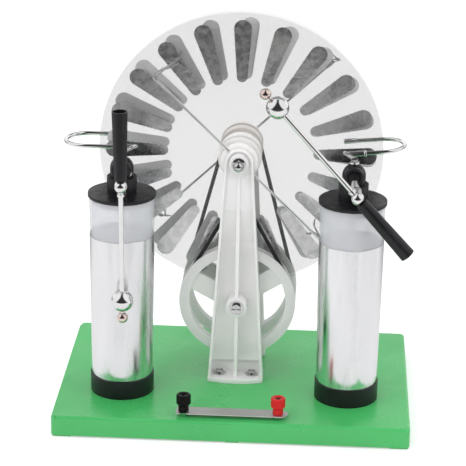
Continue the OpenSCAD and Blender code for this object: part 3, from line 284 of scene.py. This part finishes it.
def make_nylon(name, colour, rough):
    """Nylon that lets light through to the depth of its walls."""
    paint = Paint(name, colour, rough, Subsurface_Weight=0.55, Subsurface_Scale=1.0)
    paint.shader.inputs["Subsurface Radius"].default_value = (0.009, 0.009, 0.0085)
    return paint.soft_edges(0.7 * MM)


finished(Paint("base_green", (0.062, 0.49, 0.13), 0.3, Specular_IOR_Level=0.7),
         (9, 2, 0.05), (26, 4, 0.24, 0.38), (1400, 2, 0.03, 0.25),
         "base_plate", "base_rim", "base_ribs")

finished(make_nylon("milky_nylon", (0.94, 0.925, 0.925), 0.36),
         (22, 3, 0.03), (60, 3, 0.3, 0.44), (900, 2, 0.02, 0.2),
         "front_column", "rear_column", "front_drive_wheel", "rear_drive_wheel")

finished(make_nylon("warm_nylon", (0.95, 0.925, 0.905), 0.34),
         (30, 3, 0.03), (70, 3, 0.28, 0.42), (900, 2, 0.02, 0.2),
         "front_pulley", "front_neutralizer_hub", "rear_neutralizer_hub")

# The rear pulley sits in shade between the discs, so it has a painted glow: a faint emission that
# lifts that shade, though the part is no lamp.
painted_glow_nylon = Paint("nylon_painted_glow", (0.95, 0.91, 0.88), 0.34,
                Emission_Color=(1, 0.93, 0.88, 1), Emission_Strength=0.2).soft_edges(0.7 * MM)
finished(painted_glow_nylon, (30, 3, 0.03), (70, 3, 0.28, 0.42), (900, 2, 0.02, 0.2), "rear_pulley")

black = Paint("black_moulding", (0.01, 0.01, 0.012), 0.34, Specular_IOR_Level=0.34)
finished(black.soft_edges(0.5 * MM), (40, 3, 0.2), (120, 3, 0.28, 0.44), (1600, 2, 0.02, 0.25),
         "left_cap", "right_cap", "left_elbow", "right_elbow", "left_handle", "right_handle",
         "crank_handle", "left_cup", "right_cup")

knob_black = Paint("black_knob_moulding", (0.004, 0.004, 0.004), 0.3, Specular_IOR_Level=0.12)
finished(knob_black.soft_edges(0.3 * MM), (300, 3, 0.3), (400, 3, 0.24, 0.36),
         (2200, 2, 0.02, 0.25), "black_knob")

red = Paint("red_moulding", (0.62, 0.008, 0.008), 0.3, Specular_IOR_Level=0.36)
finished(red.soft_edges(0.3 * MM), (300, 3, 0.08), (400, 3, 0.24, 0.36),
         (2200, 2, 0.02, 0.25), "red_knob")

finished(Paint("black_rubber", (0.012, 0.012, 0.012), 0.6),
         (300, 3, 0.25), (500, 3, 0.5, 0.7), (2500, 2, 0.03, 0.5), "front_belt", "rear_belt")

chrome = finished(Paint("polished_chrome", (0.78, 0.78, 0.78), 0.08, 1.0),
                  (80, 2, 0.04), (200, 3, 0.05, 0.13), (300, 2, 0.01, 0.2),
                  "left_joint_ball", "right_joint_ball", "front_neutralizer_rod",
                  "rear_neutralizer_rod", "left_comb", "right_comb")


def make_rod_chrome(name, small_ball):
    """Chrome with a copper tint on the small ball, whose centre is given in millimetres."""
    paint = Paint(name + "_chrome", (0.78, 0.78, 0.78), 0.08, 1.0)
    paint.shine(paint.noise(200, 3), 0.05, 0.13)
    paint.relief(paint.noise(300, 2), 0.01 * MM, 0.2)
    away = paint.node("VectorMath")
    away.operation = "DISTANCE"
    paint.links.new(paint.coords, away.inputs[0])
    away.inputs[1].default_value = NODES[name].matrix_world.inverted() @ (Vector(small_ball) * MM)
    bare, full = COPPER_REACH
    near = paint.node("MapRange", From_Min=bare * MM, From_Max=full * MM)
    paint.links.new(away.outputs["Value"], near.inputs["Value"])
    tint = paint.node("Mix")
    tint.data_type = "RGBA"
    paint.links.new(near.outputs[0], tint.inputs[0])
    silver = paint.ramp(paint.noise(80, 2), [(NOISE_LOW, 0.75), (NOISE_HIGH, 0.81)])
    copper = paint.ramp(paint.noise(160, 3), [(NOISE_LOW, (0.68, 0.55, 0.51)),
                                              (NOISE_HIGH, (0.76, 0.62, 0.58))])
    paint.links.new(silver, tint.inputs[6])
    paint.links.new(copper, tint.inputs[7])
    paint.links.new(tint.outputs[2], paint.shader.inputs["Base Color"])
    dress(paint, name)


make_rod_chrome("left_discharge_rod", (-102.3, -87.0, 111.0))
make_rod_chrome("right_discharge_rod", (25.4, -87.0, 329.7))

dull = finished(Paint("dull_wire", (0.42, 0.42, 0.43), 0.3, 1.0),
                (300, 2, 0.12), (500, 3, 0.22, 0.42), None, "front_brushes", "rear_brushes")

plated = Paint("plated_screws", (0.58, 0.58, 0.58), 0.12, 1.0)
finished(plated.soft_edges(0.25 * MM), (300, 2, 0.06), (500, 3, 0.07, 0.18), (1500, 2, 0.01, 0.3),
         "column_screws", "upper_axle_nuts", "axle_screws", "terminal_studs", "jar_screws")

steel = Paint("turned_steel", (0.55, 0.55, 0.56), 0.3, 1.0)
steel.mottle(steel.noise(200, 2), 0.06)
steel.shine(steel.noise(300, 3, along=(1, 0.05, 1)), 0.22, 0.38)
steel.relief(steel.noise(900, 2, along=(1, 0.1, 1)), 0.01 * MM, 0.3)
dress(steel, "upper_axle", "lower_axle", "drive_wheel_screws", "crank_arm", "crank_pin")

finished(Paint("turned_brass", (0.66, 0.46, 0.2), 0.28, 1.0),
         (200, 2, 0.08), (400, 3, 0.2, 0.38), (1200, 2, 0.01, 0.3),
         "front_pulley_bush", "rear_pulley_bush", "disc_spacer", "contacts")

satin = finished(Paint("satin_metal", (0.5, 0.5, 0.5), 0.34, 1.0),
                 (150, 3, 0.08), (700, 4, 0.26, 0.42), (1800, 3, 0.02, 0.3),
                 "left_conductor", "right_conductor")

brushed = Paint("brushed_link", (0.62, 0.595, 0.6), 0.36, 1.0)
brushed.mottle(brushed.noise(900, 3, along=(0.04, 1, 1)), 0.12)
brushed.shine(brushed.noise(900, 4, along=(0.04, 1, 1)), 0.28, 0.46)
brushed.relief(brushed.noise(1500, 3, along=(0.03, 1, 1)), 0.02 * MM, 0.4)
dress(brushed, "link_bar")

finished(Paint("clear_acrylic", (0.25, 0.252, 0.252), 0.08, Alpha=0.12),
         (7, 2, 0.03), (30, 3, 0.06, 0.12), None, "front_disc", "rear_disc")

finished(Paint("jar_acrylic", (0.92, 0.93, 0.98), 0.12, Alpha=0.46),
         (18, 2, 0.03), (40, 3, 0.08, 0.18), None, "left_jar", "right_jar")


def make_sector_foil(name, grey, rough):
    """Dull foil with rubbed patches, fine scratches and creases; each sector differs a little."""
    paint = Paint(name, (grey, grey, grey), rough, 1.0)
    island = paint.node("NewGeometry").outputs["Random Per Island"]
    tone = paint.ramp(island, [(0, grey * 0.84), (1, min(1, grey * 1.12))])
    rubbed = paint.ramp(paint.noise(320, 5, 0.65), [(0.34, 0.9), (0.64, 1.0)])
    both = paint.node("Mix")
    both.data_type, both.blend_type = "RGBA", "MULTIPLY"
    both.inputs[0].default_value = 1
    paint.links.new(tone, both.inputs[6])
    paint.links.new(rubbed, both.inputs[7])
    paint.links.new(both.outputs[2], paint.shader.inputs["Base Color"])
    paint.shine(paint.noise(160, 4), rough - 0.06, rough + 0.08)
    creases = paint.node("TexVoronoi", Scale=26, Randomness=1)
    creases.feature = "DISTANCE_TO_EDGE"
    bent = paint.node("VectorMath")
    bent.operation = "ADD"
    paint.links.new(paint.coords, bent.inputs[0])
    shake = paint.node("TexNoise", Scale=30, Detail=2)
    small = paint.node("VectorMath")
    small.operation = "SCALE"
    small.inputs["Scale"].default_value = 0.02
    paint.links.new(shake.outputs["Color"], small.inputs[0])
    paint.links.new(paint.coords, shake.inputs["Vector"])
    paint.links.new(small.outputs[0], bent.inputs[1])
    paint.links.new(bent.outputs[0], creases.inputs["Vector"])
    crease = paint.ramp(creases.outputs["Distance"], [(0.0, 0.0), (0.045, 1.0)])
    paint.relief(crease, 0.12 * MM, 0.22)
    paint.relief(paint.noise(150, 4), 0.06 * MM, 0.18)
    return paint


front_foil = make_sector_foil("sector_foil", 0.6, 0.26)
# The rear foils are the same foil in a lighter grey, 0.9 against 0.6: painted light that lifts the
# shade they lie in behind the front disc.
rear_foil_painted_light = make_sector_foil("rear_sector_foil_painted_light", 0.9, 0.4)
dress(front_foil, "front_sectors")
dress(rear_foil_painted_light, "rear_sectors")


def show_glued_side_and_glow(paint, name, plane):
    """Makes the foil pale and dull in front of a plane, the side that is stuck to the disc, and
    gives that side a painted glow that lifts its shade between the discs.
    """
    height = paint.node("SeparateXYZ")
    paint.links.new(paint.coords, height.inputs[0])
    y = (NODES[name].matrix_world.inverted() @ (Vector((0, plane, 0)) * MM)).y
    # Metallic drops to 0.1 on the glued side; the emission of 0.12 there is a painted glow, no
    # lamp, that lifts the shade between the discs.
    for socket, glued_with_glow, free in (("Metallic", 0.1, 1.0), ("Emission Strength", 0.12, 0.0)):
        side = paint.node("MapRange", From_Min=y - 0.05 * MM, From_Max=y + 0.05 * MM,
                          To_Min=glued_with_glow, To_Max=free)
        paint.links.new(height.outputs["Y"], side.inputs["Value"])
        paint.links.new(side.outputs[0], paint.shader.inputs[socket])
    paint.shader.inputs["Emission Color"].default_value = (1, 1, 1, 1)


show_glued_side_and_glow(rear_foil_painted_light, "rear_sectors", REAR_FOIL_PLANE)

jar_foil = Paint("jar_foil", (0.8, 0.8, 0.815), 0.22, 1.0)
jar_foil.mottle(jar_foil.noise(30, 3, along=(1, 1, 0.1)), 0.06)
jar_foil.shine(jar_foil.noise(120, 3, along=(1, 1, 0.15)), 0.14, 0.3)
jar_foil.relief(jar_foil.noise(70, 3, along=(1, 1, 0.1)), 0.25 * MM, 0.4)
dress(jar_foil, "left_outer_foil", "right_outer_foil", "inner_foils")


# ---------------------------------------------------------------- bent and creased pieces
# Places and radii in millimetres, those of the right side where the sides mirror each other.
JAR_X, JAR_Y = 107.0, -43.3
JAR_FOOT_R, JAR_FOOT_Z = 28.45, 24.9      # the jar's wall at its foot
JAR_RIM_R, JAR_RIM_Z = 30.3, 215.7        # and at its rim
FOIL_FOOT_Z, FOIL_TOP_Z = 30, 178.5
FOIL_HELD_Z, FOIL_FREE_Z = 39, 45         # held close in the cup, standing off freely above it
FOIL_LIP = 0.9905                         # the top edge turned in, as a share of the radius
CAP_TOP, ELBOW_Z, ELBOW_R, ELBOW_TOP = 218.7, 242.6, 10.9, 252.5
ARM_SHIFT, ARM_R, JAR_ROD_R, PIVOT_R = 3.4, 4.2, 3.0, 1.9
COMB_Z, COMB_CORNER_X, COMB_BACK_LEG = 248.3, 101.0, 37.0
COMB_R, COMB_BOW_R, COMB_RING_R = 2.0, 20.3, 3.4
DISC_MID, AXLE_Z = 20.5, 242.3
NEUTRAL_REACH, NEUTRAL_ROD_Y = 115.0, -12.8
SLEEVE_R, SLEEVE_BEND_R = 1.75, 4.0
BRUSH_WIRE_R, WIRES_IN_BUNDLE = 0.26, 5
BRUSH_Y = 13.5                            # where the wires lie along the front foils


def make_elbow(side, name):
    """A pipe elbow: upright body with a domed, flattened top and a ringed port to the front."""
    form = Form()
    x = side * JAR_X
    body = [(0.2, CAP_TOP), (ELBOW_R, CAP_TOP), (ELBOW_R, CAP_TOP + 8)]
    dome = [(ELBOW_R * math.cos(a), ELBOW_Z + ELBOW_R * math.sin(a))
            for a in (math.radians(6 * n) for n in range(10))]
    flat = [(5.6, ELBOW_TOP - 0.6), (4.6, ELBOW_TOP - 0.1), (3.6, ELBOW_TOP), (0.2, ELBOW_TOP)]
    form.turned(body + dome + flat, (x, JAR_Y, 0))
    port = [(8.2, 2.0), (9.3, 5.2), (9.6, 7.4), (9.5, 9.4), (9.0, 10.6), (8.2, 11.3), (7.3, 11.5),
            (6.5, 11.1), (6.0, 10.2), (5.7, 8.4), (5.4, 5.0), (4.4, 3.4)]
    form.turned(port, (x, JAR_Y, ELBOW_Z), (0, -1, 0))
    form.piece(name + "_elbow_pipe", black, "stand", "black_plastic", name + "_elbow")


def make_conductor(side, drop, name):
    """Upright rod in the jar, bent arm to the front and the pivot pin of the ball."""
    form = Form()
    x, end_x, end_z = side * JAR_X, side * JAR_X + ARM_SHIFT, ELBOW_Z - drop
    form.tube([Vector((x, JAR_Y, z)) for z in (70.0, 72.0, 150.0, 238.0)],
              [JAR_ROD_R - 0.6, JAR_ROD_R, JAR_ROD_R, JAR_ROD_R])
    arm = rounded([(x, JAR_Y - 3.5, ELBOW_Z), (x + 2.3, JAR_Y - 24, ELBOW_Z),
                   (end_x, JAR_Y - 33.5, end_z), (end_x, JAR_Y - 37.0, end_z)], 26, 12)
    form.tube(arm, [ARM_R] * (len(arm) - 1) + [ARM_R - 0.5], 28)
    form.tube([Vector((end_x, JAR_Y - out, end_z)) for out in (36.4, 41, 46.4)], PIVOT_R)
    form.piece(name + "_arm", satin, "stand", "satin_metal", name + "_conductor")


def make_comb(side, reach, tilt, name):
    """Wire from the elbow's top screw, back and out, then in a bow round the discs' edge."""
    form = Form()
    bow, z, corner_x = COMB_BOW_R, COMB_Z, COMB_CORNER_X
    bend_x, straight_x = reach - bow, corner_x + 5
    lean = math.asin(tilt / (reach - corner_x))

    def leaning(x, y):
        way = x - corner_x
        return Vector((corner_x + way * math.cos(lean), y, z + way * math.sin(lean)))

    def mirrored(path):
        return [Vector((side * p.x, p.y, p.z)) for p in path]

    ring = [Vector((JAR_X + COMB_RING_R * math.cos(a), JAR_Y + COMB_RING_R * math.sin(a),
                    ELBOW_TOP + 1.3 + 0.02 * n))
            for n, a in enumerate(math.radians(-250 + 17 * k) for k in range(21))]
    lead = flowing([ring[-1], (JAR_X + 1.2, JAR_Y + 7.5, 254.6), (102.5, -24, 254.4),
                    (98.6, -10, 252.4), (98.4, -2.6, 249.8), (101.4, 0.4, z + 0.2),
                    leaning(straight_x, DISC_MID - bow)], 7)
    out = [leaning(straight_x + (bend_x - straight_x) * n / 8, DISC_MID - bow)
           for n in range(1, 9)]
    turn = [leaning(bend_x + bow * math.sin(a), DISC_MID - bow * math.cos(a))
            for a in (math.pi * n / 28 for n in range(1, 29))]
    back = [leaning(bend_x - COMB_BACK_LEG * n / 6, DISC_MID + bow) for n in range(1, 7)]
    path = mirrored(ring[:-1] + lead + out + turn + back)
    radii = [1.15] * (len(ring) - 1) + [1.3 + 0.7 * min(1, n / 8) for n in range(len(lead))]
    form.tube(path, radii + [COMB_R] * (len(path) - len(radii)), 24)
    sleeve = [(0.8, 0.0), (2.2, 0.0), (2.6, 0.35), (2.6, 14.2), (3.0, 14.6), (3.2, 15.2),
              (3.2, 16.0), (2.7, 16.5), (2.0, 16.5)]
    ahead = leaning(corner_x + 1, 0) - leaning(corner_x, 0)
    ahead.x *= side
    at = mirrored([leaning(corner_x + 1.6, DISC_MID - bow)])[0]
    form.turned([(q, h - 0.6) for q, h in sleeve], at, ahead, 32)
    mouth = [(0.4, 2.0), (1.5, 1.6), (1.7, 0.2), (2.2, -0.1), (2.55, 0.3), (2.6, 1.0),
             (2.6, 11.6), (2.3, 12.0), (2.0, 12.0)]
    form.turned(mouth, mirrored([leaning(bend_x - COMB_BACK_LEG, DISC_MID + bow)])[0], ahead, 32)
    form.piece(name + "_comb_wire", chrome, "stand", "chrome_wire", name + "_comb")


def make_brushes(angle, brushes, rear, body, node):
    """Sleeves bent from the rod's ends to the disc, each with two bundles of fine wires.

    The brushes are given by how far their tips lie further out and to the side, in millimetres.
    """
    form = Form()
    rng = random.Random(node)

    def placed(turn, p):
        y = 2 * DISC_MID - p[1] if rear else p[1]
        c, s = math.cos(turn), math.sin(turn)
        return Vector((p[0] * c - p[2] * s, y, AXLE_Z + p[0] * s + p[2] * c))

    for k, (dr, dt) in enumerate(brushes):
        turn = math.radians(angle + 180 * k)
        corner = Vector((NEUTRAL_REACH, NEUTRAL_ROD_Y, 0))
        tip = Vector((NEUTRAL_REACH + dr, BRUSH_Y - 0.1, dt))
        mouth = corner + (tip - corner) * 0.45
        sleeve = rounded([corner - Vector((6.5, 0, 0)), corner, mouth], SLEEVE_BEND_R, 10)
        radii = [SLEEVE_R - 0.4] + [SLEEVE_R] * (len(sleeve) - 2) + [SLEEVE_R - 0.25]
        form.tube([placed(turn, p) for p in sleeve], radii, 20)
        for s in (-1, 1):
            lay = math.atan2(dt, dr) + s * math.radians(62)
            for _ in range(WIRES_IN_BUNDLE):
                off = Vector([rng.uniform(-0.55, 0.55) for _ in range(3)])
                spread = rng.uniform(-0.25, 0.25)
                near = Vector((tip.x + s * 2, BRUSH_Y - 2.1, tip.z - s * 2.4)) + off
                long = rng.uniform(5.0, 8.5)
                touch = Vector((near.x + long * math.cos(lay + spread), BRUSH_Y,
                                near.z + long * math.sin(lay + spread)))
                start = mouth - (tip - corner) * 0.06 + off * 0.8
                bulge = Vector((rng.uniform(-0.6, 0.6), 0, rng.uniform(-0.6, 0.6)))
                wire = flowing([start, (start + near) / 2 + bulge, near, touch], 5)
                form.tube([placed(turn, p) for p in wire], BRUSH_WIRE_R, 8)
    form.piece(node + "_wires", dull, body, "chrome_wire", node)


def make_jar_foil(side, name, seed):
    """Foil wrapped round the jar, with long soft ripples and a crumpled lower edge."""
    form = Form()
    rng = random.Random(seed)
    waves = [(rng.randint(3, 17), rng.uniform(0, 6.28), rng.uniform(0.3, 1.0),
              rng.uniform(-0.006, 0.006)) for _ in range(9)]
    folds = [(rng.randint(14, 46), rng.uniform(0, 6.28), rng.uniform(-0.05, 0.05))
             for _ in range(7)]
    around, rows, rings = 220, 64, []
    centre_x = side * JAR_X
    for n in range(rows + 1):
        z = FOIL_FOOT_Z + (FOIL_TOP_Z - FOIL_FOOT_Z) * (n / rows) ** 1.15
        wall = JAR_FOOT_R + (JAR_RIM_R - JAR_FOOT_R) * (z - JAR_FOOT_Z) / (JAR_RIM_Z - JAR_FOOT_Z)
        free = min(1, max(0, (z - FOIL_HELD_Z) / (FOIL_FREE_Z - FOIL_HELD_Z)))
        crumple = math.exp(-max(0, z - 41) / 8)
        row = []
        for k in range(around):
            a = 2 * math.pi * k / around
            ripple = sum(w * math.sin(f * a + p + z * t) for f, p, w, t in waves) / len(waves)
            crush = sum(math.sin(f * a + p + z * t * 6) for f, p, t in folds) / len(folds)
            out = 0.22 + free * (0.16 + 0.22 * ripple + 0.55 * crumple * abs(crush))
            wavy = 0.35 * math.sin(2 * a + seed) + 0.18 * math.sin(7 * a + seed)
            lift = wavy if n == rows else 0
            row.append(Vector((centre_x + (wall + out) * math.cos(a),
                               JAR_Y + (wall + out) * math.sin(a), z + lift)))
        rings.append(row)
    lip = [Vector((centre_x + (p.x - centre_x) * FOIL_LIP, JAR_Y + (p.y - JAR_Y) * FOIL_LIP,
                   p.z - 0.1)) for p in rings[-1]]
    form.skin(rings + [lip], close=False)
    form.piece(name + "_foil_wrap", jar_foil, "stand", "jar_foil", name + "_outer_foil")


make_elbow(-1, "left")
make_elbow(1, "right")
make_conductor(-1, 4.0, "left")
make_conductor(1, 8.0, "right")
make_comb(-1, 166.8, 0.0, "left")
make_comb(1, 154.8, 5.0, "right")
make_brushes(135.8, [(-11, -22), (-12, -3)], False, "front_neutralizer", "front_brushes")
make_brushes(43.6, [(9, 5), (-15, 4)], True, "rear_neutralizer", "rear_brushes")
make_jar_foil(-1, "left", 3)
make_jar_foil(1, "right", 8)


# ---------------------------------------------------------------- studio
AMBIENT = 0.8            # strength of the surroundings as light on the object
FLOOR_SEEN = 0.36        # glow added to the floor where the camera sees it, so that it is white
FLOOR_REFLECTED = 0.08   # glow added to the floor in reflections
DARK_IN_FRONT = (-0.72, -1.04)   # metres along Y between which the reflected floor turns dark
DARK_BEHIND = (0.15, 0.5)
PANEL_LIGHT, GAP_LIGHT = 1.0, 0.04             # strengths of the surroundings in reflections:
WALL_LOW_LIGHT, WALL_HIGH_LIGHT = 1.1, 0.25    # side panels, gap between them, wall behind


class Maths:
    """Short forms for the studio's arithmetic nodes; a value may be a number or a socket."""

    def __init__(self, tree):
        self.nodes, self.links = tree.nodes, tree.links

    def put(self, value, socket):
        if isinstance(value, (int, float)):
            socket.default_value = value
        else:
            self.links.new(value, socket)

    def math(self, operation, a, b=0.0, c=0.0):
        made = self.nodes.new("ShaderNodeMath")
        made.operation = operation
        for value, socket in zip((a, b, c), made.inputs):
            self.put(value, socket)
        return made.outputs[0]

    def span(self, value, start, end, low=0.0, high=1.0):
        """The value's way from start to end, drawn over low to high and held beyond."""
        made = self.nodes.new("ShaderNodeMapRange")
        for part, socket in zip((value, start, end, low, high), made.inputs):
            self.put(part, socket)
        return made.outputs[0]

    def split(self, vector):
        made = self.nodes.new("ShaderNodeSeparateXYZ")
        self.links.new(vector, made.inputs[0])
        return made.outputs

    def rays(self):
        """Whether a ray is seen, directly or through clear plastic, and whether it is reflected."""
        path = self.nodes.new("ShaderNodeLightPath").outputs
        seen = self.math("MAXIMUM", path["Is Camera Ray"], path["Is Transmission Ray"])
        return seen, path["Is Glossy Ray"]


def make_floor():
    """White table. In reflections it turns dark a metre in front and half a metre behind."""
    bpy.ops.mesh.primitive_plane_add(size=6, location=(0, 0, -0.2 * MM))
    floor = bpy.context.object
    floor.name = "floor"
    paint = Paint("floor_white", (0.8, 0.8, 0.8), 0.9)
    links = paint.links
    maths = Maths(paint.material.node_tree)
    seen, glossy = maths.rays()
    glow = paint.node("Emission")
    reflected = maths.math("MULTIPLY", glossy, FLOOR_REFLECTED)
    links.new(maths.math("MULTIPLY_ADD", seen, FLOOR_SEEN, reflected), glow.inputs["Strength"])
    add = paint.node("AddShader")
    links.new(paint.shader.outputs[0], add.inputs[0])
    links.new(glow.outputs[0], add.inputs[1])
    y = maths.split(paint.coords)["Y"]
    in_front = maths.span(y, *DARK_IN_FRONT, 0.0, 0.94)
    behind = maths.span(y, *DARK_BEHIND, 0.0, 0.85)
    far = maths.math("MAXIMUM", in_front, behind)
    dark = paint.node("Emission", Strength=0.03)
    mix = paint.node("MixShader")
    links.new(maths.math("MULTIPLY", far, glossy), mix.inputs[0])
    links.new(add.outputs[0], mix.inputs[1])
    links.new(dark.outputs[0], mix.inputs[2])
    links.new(mix.outputs[0], paint.nodes["Material Output"].inputs["Surface"])
    floor.data.materials.append(paint.material)


def make_world():
    """White to the eye and softer as light; reflections find two tall white panels at the sides,
    a dark gap between them in front and a grey wall behind."""
    world = bpy.data.worlds.new("studio")
    bpy.context.scene.world = world
    world.use_nodes = True
    maths = Maths(world.node_tree)
    seen, glossy = maths.rays()
    x, y, z = maths.split(world.node_tree.nodes.new("ShaderNodeTexCoord").outputs["Generated"])
    ambient = maths.span(seen, 0.0, 1.0, AMBIENT, 1.0)
    edge = maths.math("MULTIPLY_ADD", z, 0.7, maths.math("ABSOLUTE", x))
    gap = maths.math("MULTIPLY", maths.span(edge, 0.9, 0.78), maths.span(y, 0.34, 0.26))
    panels = maths.span(gap, 0.0, 1.0, PANEL_LIGHT, GAP_LIGHT)
    wall = maths.span(z, 0.4, 0.55, WALL_LOW_LIGHT, WALL_HIGH_LIGHT)
    behind = maths.span(y, 0.42, 0.52)
    room = maths.math("MULTIPLY_ADD", behind, maths.math("SUBTRACT", wall, panels), panels)
    reflected = maths.math("MULTIPLY_ADD", glossy, maths.math("SUBTRACT", room, ambient), ambient)
    back = world.node_tree.nodes["Background"]
    back.inputs["Color"].default_value = (1, 1, 1, 1)
    world.node_tree.links.new(reflected, back.inputs["Strength"])


def make_lamp(name, place, target, size, power):
    """A soft lamp that lights the object without showing in reflections."""
    data = bpy.data.lights.new(name, "AREA")
    data.shape = "RECTANGLE"
    data.size, data.size_y = size
    data.energy = power
    lamp = bpy.data.objects.new(name, data)
    lamp.location = place
    lamp.visible_glossy = False
    lamp.rotation_euler = (Vector(target) - Vector(place)).to_track_quat("-Z", "Y").to_euler()
    bpy.context.scene.collection.objects.link(lamp)


make_floor()
make_world()
make_lamp("key", (-1.5, -1.5, 1.9), (0, 0, 0.18), (2.0, 2.0), 20)
make_lamp("fill", (1.8, -1.2, 1.1), (0, 0, 0.18), (1.4, 1.8), 8)
make_lamp("top", (0, 0.3, 2.2), (0, 0, 0.1), (2.2, 1.8), 10)
bpy.context.scene.view_settings.view_transform = "Standard"
